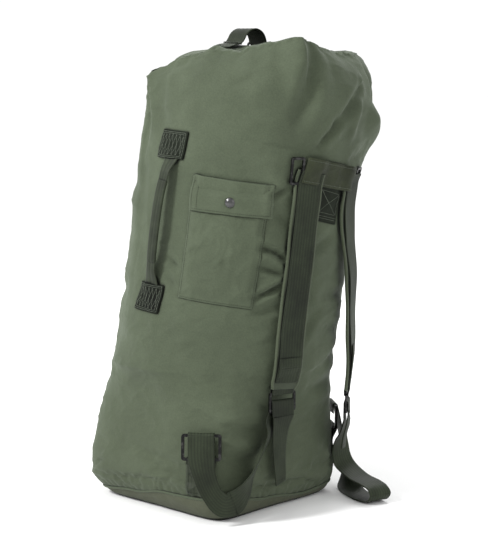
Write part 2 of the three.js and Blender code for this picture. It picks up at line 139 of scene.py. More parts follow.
def hem_at(bearing):
    """Radius and height of the hem at a bearing, by cosine steps between its points."""
    marks = sorted((b % 360, r, h) for b, r, h in HEM)
    marks = [(marks[-1][0] - 360, *marks[-1][1:]), *marks, (marks[0][0] + 360, *marks[0][1:])]
    b = bearing % 360
    for p, q in zip(marks, marks[1:]):
        if p[0] <= b <= q[0]:
            t = smooth((b - p[0]) / (q[0] - p[0]))
            return (p[1] + (q[1] - p[1]) * t) * MM, (p[2] + (q[2] - p[2]) * t) * MM
    raise ValueError(bearing)


# Folds in the cloth: from (bearing, z) to (bearing, z), half width and depth in mm. A negative depth is a
# ridge.
FOLDS = [
    (34, 768, 25, 668, 15, 13), (14, 742, 22, 640, 18, 3), (-58, 735, -50, 650, 15, 4),
    (68, 712, 46, 658, 9, 11), (46, 658, 37, 619, 7, 8), (64, 690, 58, 640, 10, -4),
    (84, 658, 96, 630, 22, -13), (80, 601, 66, 597, 9, 6), (92, 744, 96, 700, 14, 6),
    (-44, 752, -60, 735, 8, 5), (-2, 633, 26, 616, 3, 1.6), (-68, 690, -62, 620, 12, 4),
    (-10, 730, 0, 720, 5, 1.3), (0, 732, -9, 719, 5, 1.3),
    (17, 459, 24, 451, 5, 7), (24, 451, 31, 436, 5, 8), (17, 428, 30, 413, 5, 7), (17, 377, 31, 398, 5, 8),
    (18, 352, 32, 362, 8, 5), (-32, 435, -26, 424, 5, 5), (-31, 404, -26, 392, 5, 3),
    (19, 544, 27, 556, 6, 6), (22, 520, 29, 500, 8, 4), (44, 420, 50, 330, 14, 4), (56, 350, 44, 300, 12, 4),
    (95, 262, 62, 250, 10, 6), (96, 214, 66, 205, 11, 6), (88, 300, 60, 318, 10, 5), (60, 470, 46, 452, 9, 5),
    (92, 360, 58, 372, 10, 5), (14, 158, 33, 150, 10, 4), (12, 128, 30, 124, 9, -3), (14, 104, 32, 98, 10, 4),
    (28, 196, 34, 184, 8, 5), (-80, 300, -50, 286, 14, 3), (-84, 560, -62, 540, 14, 3),
    (112, 742, 106, 660, 12, -6), (128, 735, 122, 670, 16, 7), (202, 742, 200, 665, 12, -7),
    (218, 730, 212, 672, 16, 7), (186, 736, 190, 680, 14, 6), (170, 560, 208, 520, 14, 6),
    (150, 430, 196, 402, 12, 6), (160, 300, 214, 280, 13, 6), (230, 470, 262, 440, 12, 5),
    (225, 640, 250, 600, 13, 5), (130, 250, 170, 230, 12, 5), (240, 230, 282, 214, 13, 5),
    (140, 620, 168, 590, 12, 5), (262, 360, 292, 372, 12, 4), (120, 520, 142, 470, 11, 5),
]
ACROSS = 0.19 * math.pi / 180  # metres along the cloth for a degree of bearing


def fold_push(bearing, z):
    """How far the folds push the cloth out, for arrays of bearings and heights."""
    push = np.zeros_like(z)
    for b0, z0, b1, z1, half, depth in FOLDS:
        px, pz = ((bearing - b0 + 180) % 360 - 180) * ACROSS, z - z0 * MM
        dx, dz = (b1 - b0) * ACROSS, (z1 - z0) * MM
        t = np.clip((px * dx + pz * dz) / (dx * dx + dz * dz), 0, 1)
        away = np.hypot(px - t * dx, pz - t * dz) / (half * MM)
        taper = 0.45 + 0.55 * np.sin(np.pi * t) if depth > 0 else 1.0
        push -= depth * MM * (np.exp(-away * away) - 0.3 * np.exp(-((away - 1.9) ** 2))) * taper
    return push


# Sharp creases: from (bearing, z) to (bearing, z), reach on each side of the crest, and height. The cloth
# climbs slowly to the crest from one side and falls away fast on the other.
CREASES = [
    (28.5, 794, 28, 706, 44, 9, 13), (-64, 728, -58.5, 650, 8, 30, 11), (-76, 720, -55, 752, 12, 12, 6),
    (-58.5, 655, -63, 590, 12, 24, 5), (106, 766, 100, 690, 16, 12, 8), (202, 762, 200, 680, 14, 14, 8),
    (157, 768, 152, 705, 20, 10, 4), (236, 752, 229, 690, 14, 8, 5), (71, 722, 52, 668, 18, 4, 5),
    (18, 466, 31, 447, 4, 9, 6), (18, 437, 31, 422, 4, 9, 5), (31, 407, 18, 386, 9, 4, 6),
    (20, 562, 30, 541, 6, 6, 3), (-30, 452, -23, 441, 4, 7, 3), (60, 330, 80, 345, 6, 10, 3),
    (58, 245, 84, 262, 7, 12, 3), (10, 170, 30, 160, 5, 9, 3), (-75, 400, -52, 392, 7, 14, 3),
    (-80, 520, -58, 505, 7, 14, 3), (-72, 250, -44, 240, 8, 14, 2.5), (-20, 320, 6, 312, 6, 12, 2),
    (160, 500, 196, 470, 7, 14, 3), (220, 380, 262, 350, 7, 14, 3), (130, 360, 170, 330, 7, 14, 3),
    (250, 560, 284, 530, 7, 14, 3), (140, 180, 190, 160, 7, 14, 3), (236, 160, 286, 150, 7, 14, 3),
]


def crease_push(bearing, z):
    """How far the creases push the cloth out, for arrays of bearings and heights."""
    push = np.zeros_like(z)
    for b0, z0, b1, z1, left, right, height in CREASES:
        px, pz = ((bearing - b0 + 180) % 360 - 180) * ACROSS, z - z0 * MM
        dx, dz = (b1 - b0) * ACROSS, (z1 - z0) * MM
        run = math.hypot(dx, dz)
        t = (px * dx + pz * dz) / (run * run)
        side = (px * -dz + pz * dx) / run  # above 0 on the right of a crease drawn downwards
        reach = np.where(side > 0, right, left) * MM
        beyond = np.maximum(0, np.maximum(-t, t - 1)) * run
        fade = np.exp(-((beyond / (12 * MM)) ** 2)) * (1 - 0.75 * np.clip(t, 0, 1) ** 2)
        push += height * MM * fade * np.exp(-np.abs(side) / reach)
    return push


def ripple(point, stretch, seed):
    p = Vector((point[0] * stretch[0] + seed, point[1] * stretch[1], point[2] * stretch[2]))
    return noise.fractal(p, 1.0, 2.0, 3)


def seam_at(bearing):
    """Height of the bottom seam at a bearing."""
    marks = [(SEAM[-1][0] - 360, SEAM[-1][1]), *SEAM, (SEAM[0][0] + 360, SEAM[0][1])]
    b = bearing % 360
    b = b - 360 if b > marks[-1][0] else b
    for p, q in zip(marks, marks[1:]):
        if p[0] <= b <= q[0]:
            return (p[1] + (q[1] - p[1]) * smooth((b - p[0]) / (q[0] - p[0]))) * MM
    raise ValueError(bearing)


def body_point(bearing, t):
    """A point of the body cloth: t is 0 at the bottom seam and 1 at the hem."""
    walls = 0.80
    foot = seam_at(bearing)
    if t <= walls:
        z = foot + (SHOULDER_Z - foot) * t / walls
        out = radius(bearing, z)
        centre = axis_at(z)
    else:
        s = (t - walls) / (1 - walls)
        top_radius, top_z = hem_at(bearing)
        start = radius(bearing, SHOULDER_Z)
        ear = smooth((top_radius - 0.15) / 0.045)
        close = (1 - math.cos(s * math.pi / 2)) ** (1 + 1.2 * ear)
        z = SHOULDER_Z + (top_z - SHOULDER_Z) * math.sin(s * math.pi / 2) ** (1 - 0.18 * ear)
        out = start + (top_radius - start) * close
        centre = axis_at(min(z, MOUTH_Z))
        centre.z = z
    p = centre + facing(bearing) * out
    ease = 2.0 * MM * ripple(p, (7, 7, 13), 3.1) + 0.8 * MM * ripple(p, (22, 22, 40), 8.7)
    return p + facing(bearing) * ease


def small_creases(p):
    """How far the many small creases push the cloth out at a point."""
    restless = 0.3 + 0.7 * smooth(0.5 + 1.8 * noise.noise(p * 5.0 + Vector((0, 0, 4.4))))
    return restless * (1.6 * MM * crinkle(p, (13, 13, 24), 2.2) + 0.9 * MM * crinkle(p, (30, 30, 50), 6.1))


def push_cloth(obj, push):
    """Moves the rows of the body cloth out by push(bearings, heights, points), calming down near the seam."""
    points = np.array([v.co for v in obj.data.vertices])
    bearing = np.tile(np.arange(AROUND) * 360 / AROUND, ROWS)
    foot = np.tile([seam_at(360 * j / AROUND) for j in range(AROUND)], ROWS)
    amount = push(bearing, points[:, 2], obj.data.vertices) * smooth((points[:, 2] - foot) / 0.05)
    turn = np.radians(bearing)
    points[:, 0] += np.sin(turn) * amount
    points[:, 1] -= np.cos(turn) * amount
    obj.data.vertices.foreach_set("co", points.astype(np.float32).ravel())
    obj.data.update()


# ---------- mesh helpers ----------
def finish_mesh(name, points, faces, material, smooth_shading=True, cloth=None):
    mesh = bpy.data.meshes.new(name)
    mesh.from_pydata([tuple(p) for p in points], [], faces)
    if cloth is not None:
        layer = mesh.attributes.new("cloth", "FLOAT_VECTOR", "POINT")
        layer.data.foreach_set("vector", np.array(cloth, np.float32).ravel())
    bm = bmesh.new()
    bm.from_mesh(mesh)
    bmesh.ops.recalc_face_normals(bm, faces=bm.faces)
    bm.to_mesh(mesh)
    bm.free()
    mesh.polygons.foreach_set("use_smooth", [smooth_shading] * len(mesh.polygons))
    mesh.materials.append(material)
    obj = bpy.data.objects.new(name, mesh)
    bpy.context.scene.collection.objects.link(obj)
    return obj


def loft_faces(rows, n, closed_rows=False, around=True, caps=False):
    faces = []
    strips = rows if closed_rows else rows - 1
    for i in range(strips):
        a, b = i * n, ((i + 1) % rows) * n
        for j in range(n if around else n - 1):
            k = (j + 1) % n
            faces.append((a + j, a + k, b + k, b + j))
    if caps:
        faces.append(tuple(range(n))[::-1])
        faces.append(tuple((rows - 1) * n + j for j in range(n)))
    return faces


def catmull(points, steps):
    """Points evenly spaced in parameter along a centripetal Catmull-Rom curve."""
    p = [np.array(q, float) for q in points]
    p = [2 * p[0] - p[1], *p, 2 * p[-1] - p[-2]]
    found = []
    spans = len(p) - 3
    for i in range(steps + 1):
        u = min(i / steps * spans, spans - 1e-9)
        k = int(u)
        a, b, c, d = p[k:k + 4]
        t0 = 0.0
        t1 = t0 + max(np.linalg.norm(b - a), 1e-6) ** 0.5
        t2 = t1 + max(np.linalg.norm(c - b), 1e-6) ** 0.5
        t3 = t2 + max(np.linalg.norm(d - c), 1e-6) ** 0.5
        t = t1 + (t2 - t1) * (u - k)
        a1 = (t1 - t) / (t1 - t0) * a + (t - t0) / (t1 - t0) * b
        a2 = (t2 - t) / (t2 - t1) * b + (t - t1) / (t2 - t1) * c
        a3 = (t3 - t) / (t3 - t2) * c + (t - t2) / (t3 - t2) * d
        b1 = (t2 - t) / (t2 - t0) * a1 + (t - t0) / (t2 - t0) * a2
        b2 = (t3 - t) / (t3 - t1) * a2 + (t - t1) / (t3 - t1) * a3
        found.append(Vector((t2 - t) / (t2 - t1) * b1 + (t - t1) / (t2 - t1) * b2))
    return found


def tape_section(width, thick, ribs=0, crown=0.0):
    """The outline of a tape: rounded edges, lengthwise ribs, and a crown for a padded strap."""
    half, across, edge = width / 2, 20, 3
    top = []
    for i in range(across + 1):
        x = -half + width * i / across
        rib = 0.22 * MM * math.cos(2 * math.pi * ribs * x / width) if ribs else 0.0
        puff = crown * (1 - abs(x / half) ** 3)
        top.append((x, thick / 2 + puff + rib))
    edge_right = [
        (half + thick / 2 * math.sin(a), thick / 2 * math.cos(a))
        for a in (math.pi * (k + 1) / (edge + 1) for k in range(edge))
    ]
    outline = top + edge_right
    return outline + [(-x, -y) for x, y in outline]


def sweep(name, stops, section, steps, material, twist_wave=0.0, part=None):
    """A section swept along stops, each (point, way the face looks, scale across), or along part of them."""
    path = catmull([s[0] for s in stops], steps)
    looks = catmull([s[1] for s in stops], steps)
    sizes = np.interp(np.linspace(0, len(stops) - 1, steps + 1), range(len(stops)), [s[2] for s in stops])
    first, last = part or (0, steps)
    points, cloth, run = [], [], 0.0
    for i, at in list(enumerate(path))[first:last + 1]:
        ahead, behind = path[min(i + 1, steps)], path[max(i - 1, 0)]
        along = (ahead - behind).normalized()
        look = looks[i] - along * looks[i].dot(along)
        look.normalize()
        across = along.cross(look)
        run += (at - path[i - 1]).length if i else 0.0
        wave = twist_wave * math.sin(run * 60.0 + len(name))
        for x, y in section:
            points.append(at + across * (x * sizes[i]) + look * (y + wave * (x / 0.02) ** 2))
            cloth.append((x, run, 0.0))
    faces = loft_faces(last - first + 1, len(section), caps=True)
    return finish_mesh(name, points, faces, material, cloth=cloth)


def joined(name, objects):
    """Several pieces of one part as one object."""
    with bpy.context.temp_override(active_object=objects[0], selected_editable_objects=objects):
        bpy.ops.object.join()
    objects[0].name = name
    return objects[0]


# ---------- materials ----------
def new_material(name):
    material = bpy.data.materials.new(name)
    material.use_nodes = True
    nodes, links = material.node_tree.nodes, material.node_tree.links
    return material, nodes, links, nodes["Principled BSDF"]


def node(nodes, kind, **values):
    made = nodes.new(kind)
    for key, value in values.items():
        if key in made.inputs.keys():
            made.inputs[key].default_value = value
        else:
            setattr(made, key, value)
    return made


def ramp(nodes, links, source, stops):
    made = nodes.new("ShaderNodeValToRGB")
    for i, (at, colour) in enumerate(stops):
        element = made.color_ramp.elements[i] if i < 2 else made.color_ramp.elements.new(at)
        element.position = at
        element.color = (*colour, 1)
    links.new(source, made.inputs["Fac"])
    return made.outputs["Color"]


def mixed(nodes, links, kind, amount, a, b):
    made = nodes.new("ShaderNodeMix")
    made.data_type, made.blend_type = "RGBA", kind
    made.inputs["Factor"].default_value = amount if isinstance(amount, float) else 0.5
    if not isinstance(amount, float):
        links.new(amount, made.inputs["Factor"])
    for socket, value in ((made.inputs["A"], a), (made.inputs["B"], b)):
        if isinstance(value, tuple):
            socket.default_value = (*value, 1)
        else:
            links.new(value, socket)
    return made.outputs["Result"]


def noise_at(nodes, links, place, **values):
    """Noise that is fixed to the place of each point."""
    made = node(nodes, "ShaderNodeTexNoise", **values)
    links.new(place.outputs["Position"], made.inputs["Vector"])
    return made


def bumped(nodes, links, height, strength, distance, over=None):
    """The normal of a relief, laid over another normal."""
    made = node(nodes, "ShaderNodeBump", Strength=strength, Distance=distance)
    links.new(height, made.inputs["Height"])
    if over:
        links.new(over, made.inputs["Normal"])
    return made.outputs["Normal"]


def set_inputs(shader, values):
    for key, value in values.items():
        shader.inputs[key].default_value = value


def woven(name, colour, pitch, rough=0.82, sheen=0.12, rib=0.0, low_darkening=0.25, relief=0.25, mottle=0.1,
          specular=0.2,
          rumpled=0.10, lines=0.2):
    """Woven cloth: two crossing sets of threads in relief, faded patches, fibres, and a darker, browner tone
    towards the floor.
    """
    material, nodes, links, shader = new_material(name)
    where = node(nodes, "ShaderNodeAttribute", attribute_name="cloth")
    place = nodes.new("ShaderNodeNewGeometry")
    threads = []
    for direction in ("X", "Y"):
        wave = node(nodes, "ShaderNodeTexWave", Scale=2 * math.pi / pitch / 20, Distortion=0.6, Detail=1.0)
        wave.bands_direction = direction
        wave.inputs["Detail Scale"].default_value = 0.6
        links.new(where.outputs["Vector"], wave.inputs["Vector"])
        threads.append(wave.outputs["Color"])
    weave = mixed(nodes, links, "MULTIPLY", 1.0, threads[0], threads[1])
    if rib:
        cords = node(nodes, "ShaderNodeTexWave", Scale=2 * math.pi / rib / 20, Distortion=0.2)
        cords.bands_direction = "X"
        links.new(where.outputs["Vector"], cords.inputs["Vector"])
        weave = mixed(nodes, links, "MIX", 0.72, weave, cords.outputs["Color"])
    fade = noise_at(nodes, links, place, Scale=9.0, Detail=5.0, Roughness=0.62)
    fibre = noise_at(nodes, links, place, Scale=420.0, Detail=2.0)
    light = tuple(min(1, c * (1 + 1.6 * mottle) + 0.004) for c in colour)
    dark = tuple(c * (1 - 1.5 * mottle) for c in colour)
    base = ramp(nodes, links, fade.outputs["Fac"], [(0.3, dark), (0.5, colour), (0.72, light)])
    shade = ramp(nodes, links, weave, [(0.0, (1 - lines,) * 3), (1.0, (1 + 0.4 * lines,) * 3)])
    base = mixed(nodes, links, "MULTIPLY", 1.0, base, shade)
    speck = ramp(nodes, links, fibre.outputs["Fac"], [(0.3, (0.9, 0.9, 0.9)), (0.7, (1.09, 1.09, 1.07))])
    base = mixed(nodes, links, "MULTIPLY", 1.0, base, speck)
    # The colour turns darker and browner from 0.30 m down to the floor.
    height = nodes.new("ShaderNodeSeparateXYZ")
    links.new(place.outputs["Position"], height.inputs["Vector"])
    low = node(nodes, "ShaderNodeMapRange")
    low.inputs["From Min"].default_value, low.inputs["From Max"].default_value = 0.30, 0.0
    links.new(height.outputs["Z"], low.inputs["Value"])
    low_darkness = node(nodes, "ShaderNodeMath", operation="MULTIPLY")
    low_darkness.inputs[1].default_value = low_darkening
    links.new(low.outputs["Result"], low_darkness.inputs[0])
    low_tone = tuple(c * f for c, f in zip(colour, (0.62, 0.58, 0.50)))
    base = mixed(nodes, links, "MIX", low_darkness.outputs["Value"], base, low_tone)
    # Lighter on sharp ridges and edges: partly wear of the cloth, partly a painted highlight on the crests of
    # the creases.
    wear_and_ridge_highlight = ramp(nodes, links, place.outputs["Pointiness"], [(0.52, (0, 0, 0)), (0.70, (1, 1, 1))])
    base = mixed(nodes, links, "MIX", wear_and_ridge_highlight, base, tuple(min(1, c * 1.1) for c in colour))
    hollow = nodes.new("ShaderNodeAmbientOcclusion")
    hollow.samples = 8
    hollow.inputs["Distance"].default_value = 6.5 * MM
    shadow = ramp(nodes, links, hollow.outputs["AO"], [(0.50, (0.05, 0.05, 0.05)), (0.93, (1.0, 1.0, 1.0))])
    base = mixed(nodes, links, "MULTIPLY", 1.0, base, shadow)
    links.new(base, shader.inputs["Base Color"])
    thread_normal = bumped(nodes, links, weave, relief, 0.25 * MM)
    nap_normal = bumped(nodes, links, fibre.outputs["Fac"], 0.12, 0.4 * MM, thread_normal)
    rumple = noise_at(nodes, links, place, Scale=26.0, Detail=4.0, Roughness=0.55, Distortion=0.9)
    rumple.noise_type = "RIDGED_MULTIFRACTAL"
    soft_normal = bumped(nodes, links, rumple.outputs["Fac"], rumpled, 1.1 * MM, nap_normal)
    links.new(soft_normal, shader.inputs["Normal"])
    set_inputs(shader, {"Roughness": rough, "Sheen Weight": sheen, "Sheen Roughness": 0.45,
                        "Sheen Tint": (0.8, 0.9, 0.78, 1), "Specular IOR Level": specular})
    return material


def blackened(name, colour=(0.012, 0.012, 0.012), rough=0.32):
    """Black enamelled steel, worn to bright metal along its edges."""
    material, nodes, links, shader = new_material(name)
    place = nodes.new("ShaderNodeNewGeometry")
    spots = noise_at(nodes, links, place, Scale=160.0, Detail=4.0)
    edge = ramp(nodes, links, place.outputs["Pointiness"], [(0.55, (0, 0, 0)), (0.75, (1, 1, 1))])
    chips = ramp(nodes, links, spots.outputs["Fac"], [(0.50, (0, 0, 0)), (0.62, (1, 1, 1))])
    wear = mixed(nodes, links, "MULTIPLY", 1.0, edge, chips)
    base = mixed(nodes, links, "MIX", wear, colour, (0.20, 0.20, 0.19))
    links.new(base, shader.inputs["Base Color"])
    gloss = ramp(nodes, links, spots.outputs["Fac"], [(0.3, (rough,) * 3), (0.8, (rough + 0.2,) * 3)])
    links.new(gloss, shader.inputs["Roughness"])
    normal = bumped(nodes, links, spots.outputs["Fac"], 0.15, 0.2 * MM)
    links.new(normal, shader.inputs["Normal"])
    set_inputs(shader,
               {"Metallic": 0.9, "Specular IOR Level": 0.25, "Coat Weight": 0.08, "Coat Roughness": 0.15})
    return material


DUCK_COLOUR = (0.064, 0.080, 0.050)
DUCK = woven("duck_cloth", DUCK_COLOUR, 1.1 * MM, rumpled=0.30)
# The base cloth is the same duck as the body, painted lighter to make up for the shade it lies in under the
# bag.
LIGHTENED_BASE_DUCK = woven("base_cloth", (0.082, 0.092, 0.062), 1.1 * MM, low_darkening=0.45, sheen=0.05, rumpled=0.3)
PAD = woven("pad_cloth", (0.036, 0.046, 0.028), 0.9 * MM, rough=0.6, sheen=0.1)
EDGE = woven("edge_binding", (0.052, 0.065, 0.038), 0.9 * MM, rough=0.6, sheen=0.15)
WEBBING = woven("webbing", (0.0150, 0.0212, 0.0100), 1.5 * MM, rough=0.6, sheen=0.03, rib=5.2 * MM,
                relief=0.9, mottle=0.5,
                lines=0.40)
PATCH_WEB = woven("patch_webbing", (0.0085, 0.0115, 0.0068), 1.5 * MM, rough=0.65, sheen=0.0, relief=0.8,
                  mottle=0.5,
                  specular=0.1, lines=0.35)
OLIVE_WEB = woven("olive_webbing", (0.026, 0.033, 0.014), 1.4 * MM, rough=0.6, sheen=0.05, relief=0.8,
                  mottle=0.5, lines=0.5)
LIGHT_WEB = woven("green_webbing", (0.026, 0.034, 0.019), 1.3 * MM, rough=0.6, sheen=0.05, rib=6 * MM,
                  relief=0.8, mottle=0.4,
                  lines=0.35)
THREAD = woven("thread", (0.045, 0.056, 0.036), 0.5 * MM, rough=0.7, sheen=0.1)
DARK_THREAD = woven("dark_thread", (0.012, 0.015, 0.010), 0.5 * MM, rough=0.6, sheen=0.1)
METAL = blackened("black_metal")
CAP_METAL = blackened("cap_metal", (0.075, 0.075, 0.075), 0.22)
CAP_METAL.node_tree.nodes["Principled BSDF"].inputs["Metallic"].default_value = 1.0


# ---------- body cloth ----------
AROUND, ROWS = 360, 271  # an odd number of rows, so that every second one takes in both edges


def cloth_shell(name, grid, material):
    """A grid of rows round the bag as one sheet of cloth."""
    rows, n = len(grid), len(grid[0])
    points, cloth = [], []
    for row in grid:
        for j, p in enumerate(row):
            points.append(p)
            cloth.append((j / n * 1.2, p.z, 0))
    return finish_mesh(name, points, loft_faces(rows, n), material, cloth=cloth)


def thicken(obj, thick):
    """Gives a cloth sheet its thickness, inwards."""
    made = obj.modifiers.new("thickness", "SOLIDIFY")
    made.thickness, made.offset = thick, -1
    made.use_even_offset = False
    with bpy.context.temp_override(object=obj, active_object=obj):
        bpy.ops.object.modifier_apply(modifier=made.name)


def cloth_simulate(points, frames=16, cap=4.5 * MM, shrink=-0.030, pressure=0.6):
    """How a grid of cloth (rows, round, xyz) buckles where there is too much of it, held at both edges."""
    rows, n = points.shape[:2]
    obj = finish_mesh("settling_cloth", points.reshape(-1, 3), loft_faces(rows, n), DUCK)
    before = points.reshape(-1, 3)
    group = obj.vertex_groups.new(name="held")
    for i in range(rows):
        t = i / (rows - 1)
        weight = min(1.0, 0.02 + max(1 - t / 0.03, (t - 0.965) / 0.035, 0))
        group.add(list(range(i * n, i * n + n)), weight, "REPLACE")
    made = obj.modifiers.new("cloth", "CLOTH")
    made.settings.vertex_group_mass = "held"
    for key, value in (("pin_stiffness", 1.0), ("quality", 5), ("mass", 0.3), ("tension_stiffness", 40),
                       ("compression_stiffness", 40), ("shear_stiffness", 20), ("bending_stiffness", 0.6),
                       ("shrink_min", shrink), ("shrink_max", shrink), ("use_pressure", True),
                       ("uniform_pressure_force", pressure)):
        setattr(made.settings, key, value)
    made.settings.effector_weights.gravity = 0.15
    made.collision_settings.use_collision = False
    made.point_cache.frame_start, made.point_cache.frame_end = 1, frames
    scene = bpy.context.scene
    for f in range(1, frames + 1):
        scene.frame_set(f)
    evaluated = obj.evaluated_get(bpy.context.evaluated_depsgraph_get())
    moved = np.array([v.co for v in evaluated.data.vertices]) - before
    scene.frame_set(1)
    bpy.data.objects.remove(obj)
    length = np.linalg.norm(moved, axis=1, keepdims=True)
    moved *= cap * np.tanh(length / cap) / np.maximum(length, 1e-9)
    return moved.reshape(points.shape)


def between_rows(coarse):
    """A field on every second row and column, filled in for all of them."""
    rows, n = coarse.shape[:2]
    fine = np.zeros((2 * rows - 1, 2 * n, 3))
    fine[::2, ::2] = coarse
    fine[1::2, ::2] = (coarse[:-1] + coarse[1:]) / 2
    fine[:, 1::2] = (fine[:, ::2] + np.roll(fine[:, ::2], -1, axis=1)) / 2
    return fine


def make_body():
    grid = [[body_point(360 * j / AROUND, i / (ROWS - 1)) for j in range(AROUND)] for i in range(ROWS)]
    obj = cloth_shell("body_cloth", grid, DUCK)
    push_cloth(obj, lambda b, z, v: fold_push(b, z))
    points = np.array([v.co for v in obj.data.vertices])
    moved = between_rows(cloth_simulate(points.reshape(ROWS, AROUND, 3)[::2, ::2]))
    obj.data.vertices.foreach_set("co", (points + moved.reshape(-1, 3)).astype(np.float32).ravel())
    push_cloth(obj, lambda b, z, v: crease_push(b, z) + np.array([small_creases(p.co) for p in v]))
    return obj


body = make_body()
_tree = BVHTree.FromObject(body, bpy.context.evaluated_depsgraph_get())


def on_cloth(bearing, z, off=0.0):
    """A point on the body cloth as it really lies, moved out by off."""
    start = axis_at(z)
    hit = _tree.ray_cast(start, facing(bearing), 0.4)[0]
    return (hit if hit else plain(bearing, z)) + facing(bearing) * off


thicken(body, CLOTH_THICK)
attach(body, "bag")
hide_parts("body_shell")


# ---------- base ----------
def make_base():
    """The base cloth: out from under the seam, round the edge and flat on the floor."""
    shares = [1, 0.9, 0.75, 0.6, 0.45, 0.32, 0.2, 0.11, 0.05, 0.015, 0]
    grid = []
    for share in shares:
        row = []
        for j in range(AROUND):
            b = 360 * j / AROUND
            foot = seam_at(b)
            z = max(foot * share, 0.2 * MM)
            under = (1 - share) ** 3
            p = plain(b, foot + (z - foot) * 0.75, -0.4 * MM - under * 13 * MM)
            p.z = z
            wrinkle = (2.0 * MM * ripple(p, (18, 18, 30), 5.0) + 1.2 * MM * crinkle(p, (26, 26, 50), 1.3))
            row.append(p + facing(b) * (wrinkle * smooth((1 - share) / 0.2) * smooth(share / 0.25)))
        grid.append(row)
    rim = grid[-1]
    for share in (0.8, 0.5, 0.2, 0.02):
        grid.append([Vector((p.x * share, p.y * share, 0.2 * MM)) for p in rim])
    obj = cloth_shell("base_cloth", grid, LIGHTENED_BASE_DUCK)
    thicken(obj, -CLOTH_THICK)
    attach(obj, "bag")
    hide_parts("bottom_panel")


make_base()


def make_welt():
    """The bottom seam: the body cloth's folded edge, lying over the base cloth."""
    section = [(1.4, 1.8), (1.9, 0.4), (1.7, -1.8), (0.6, -2.8), (-0.6, -2.0), (-0.4, 0), (-0.2, 1.6)]
    points, cloth = [], []
    for j in range(AROUND):
        b = 360 * j / AROUND
        foot = seam_at(b)
        for off, rise in section:
            p = plain(b, foot, off * MM)
            points.append(Vector((p.x, p.y, foot + rise * MM)))
            cloth.append((j / AROUND * 1.2, rise * MM, 0))
    obj = finish_mesh("seam_binding", points, loft_faces(AROUND, len(section), closed_rows=True), DUCK,
                      cloth=cloth)
    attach(obj, "bag")
    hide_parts("bottom_welt")


make_welt()


# ---------- sewing ----------
def stitches(name, path, out, body_name, pitch=3.2 * MM, thick=0.75 * MM, material=None, share=0.68):
    """A row of raised stitches along a path. out gives the way the cloth looks at a point."""
    points, faces = [], []
    lengths = [0.0]
    for a, b in zip(path, path[1:]):
        lengths.append(lengths[-1] + (b - a).length)
    count = max(1, int(lengths[-1] / pitch))
    lengths = np.array(lengths)
    cords = np.array([tuple(p) for p in path])

    def at(s):
        return Vector([np.interp(s, lengths, cords[:, k]) for k in range(3)])

    for i in range(count):
        a, b = at(i * pitch), at((i + share) * pitch)
        if (b - a).length < 1e-5:
            continue
        along = (b - a).normalized()
        normal = out((a + b) / 2)
        side = along.cross(normal).normalized()
        first = len(points)
        for share_along, fat in ((0, 0.25), (0.2, 0.85), (0.5, 1), (0.8, 0.85), (1, 0.25)):
            c = a.lerp(b, share_along)
            for x, y in ((-0.5, 0), (-0.3, 0.4), (0.3, 0.4), (0.5, 0)):
                points.append(c + side * (x * thick * fat) + normal * (y * thick * fat * 1.3))
        for k in range(4):
            for j in range(3):
                q = first + k * 4 + j
                faces.append((q, q + 1, q + 5, q + 4))
    obj = finish_mesh(name, points, faces, material or THREAD, cloth=[(0, 0, 0)] * len(points))
    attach(obj, body_name)
    return obj


def from_axis(point):
    """The way the bag's surface looks, roughly, at a point on it."""
    away = point - axis_at(min(max(point.z, 0), MOUTH_Z))
    away.z = 0
    return away.normalized()


def bilinear(corners, u, v):
    (b0, z0), (b1, z1), (b2, z2), (b3, z3) = corners
    bottom = (b0 + (b1 - b0) * u, z0 + (z1 - z0) * u)
    top = (b3 + (b2 - b3) * u, z3 + (z2 - z3) * u)
    return bottom[0] + (top[0] - bottom[0]) * v, (bottom[1] + (top[1] - bottom[1]) * v) * MM


def line_on(corners, a, b, off, steps=40):
    """Points on the cloth along a straight line of the panel's own u and v."""
    found = []
    for i in range(steps + 1):
        t = i / steps
        bearing, z = bilinear(corners, a[0] + (b[0] - a[0]) * t, a[1] + (b[1] - a[1]) * t)
        found.append(on_cloth(bearing, z, off))
    return found


def over_panel(corners, lift, a, b, steps):
    """Points just over a panel, along a straight line of its own u and v."""
    found = []
    for i in range(steps + 1):
        u, v = a[0] + (b[0] - a[0]) * i / steps, a[1] + (b[1] - a[1]) * i / steps
        found.append(on_cloth(*bilinear(corners, u, v), lift(u, v) + 0.1 * MM))
    return found


def two_faced(name, outer, inner, nu, nv, material, cloth):
    """A grid of points with a second one behind it, closed round the rim."""
    n, count = nu + 1, (nu + 1) * (nv + 1)
    faces = []
    for i in range(nv):
        for j in range(nu):
            q = i * n + j
            faces.append((q, q + 1, q + n + 1, q + n))
            faces.append((count + q, count + q + n, count + q + n + 1, count + q + 1))
    rim = (list(range(n)) + [i * n + nu for i in range(1, nv + 1)]
           + [nv * n + j for j in range(nu - 1, -1, -1)] + [i * n for i in range(nv - 1, 0, -1)])
    for a, b in zip(rim, rim[1:] + rim[:1]):
        faces.append((a, count + a, count + b, b))
    return finish_mesh(name, outer + inner, faces, material, cloth=cloth * 2)


def panel(name, corners, off, thick, material, nu=60, nv=40):
    """A sewn panel lying on the body cloth. off gives its height over the cloth at (u, v)."""
    outer, inner, cloth = [], [], []
    corner = [on_cloth(*bilinear(corners, u, v)) for u, v in ((0, 0), (1, 0), (0, 1))]
    width, height = (corner[1] - corner[0]).length, (corner[2] - corner[0]).length
    for i in range(nv + 1):
        for j in range(nu + 1):
            u, v = j / nu, i / nv
            edge = min(u * width, (1 - u) * width, v * height, (1 - v) * height)
            soft = min(1.0, edge / (2.2 * MM)) ** 0.5
            bearing, z = bilinear(corners, u, v)
            lift = off(u, v)
            outer.append(on_cloth(bearing, z, lift - thick * (1 - soft) * 0.6))
            inner.append(on_cloth(bearing, z, lift - thick))
            cloth.append((u * width, v * height, 0))
    return two_faced(name, outer, inner, nu, nv, material, cloth)


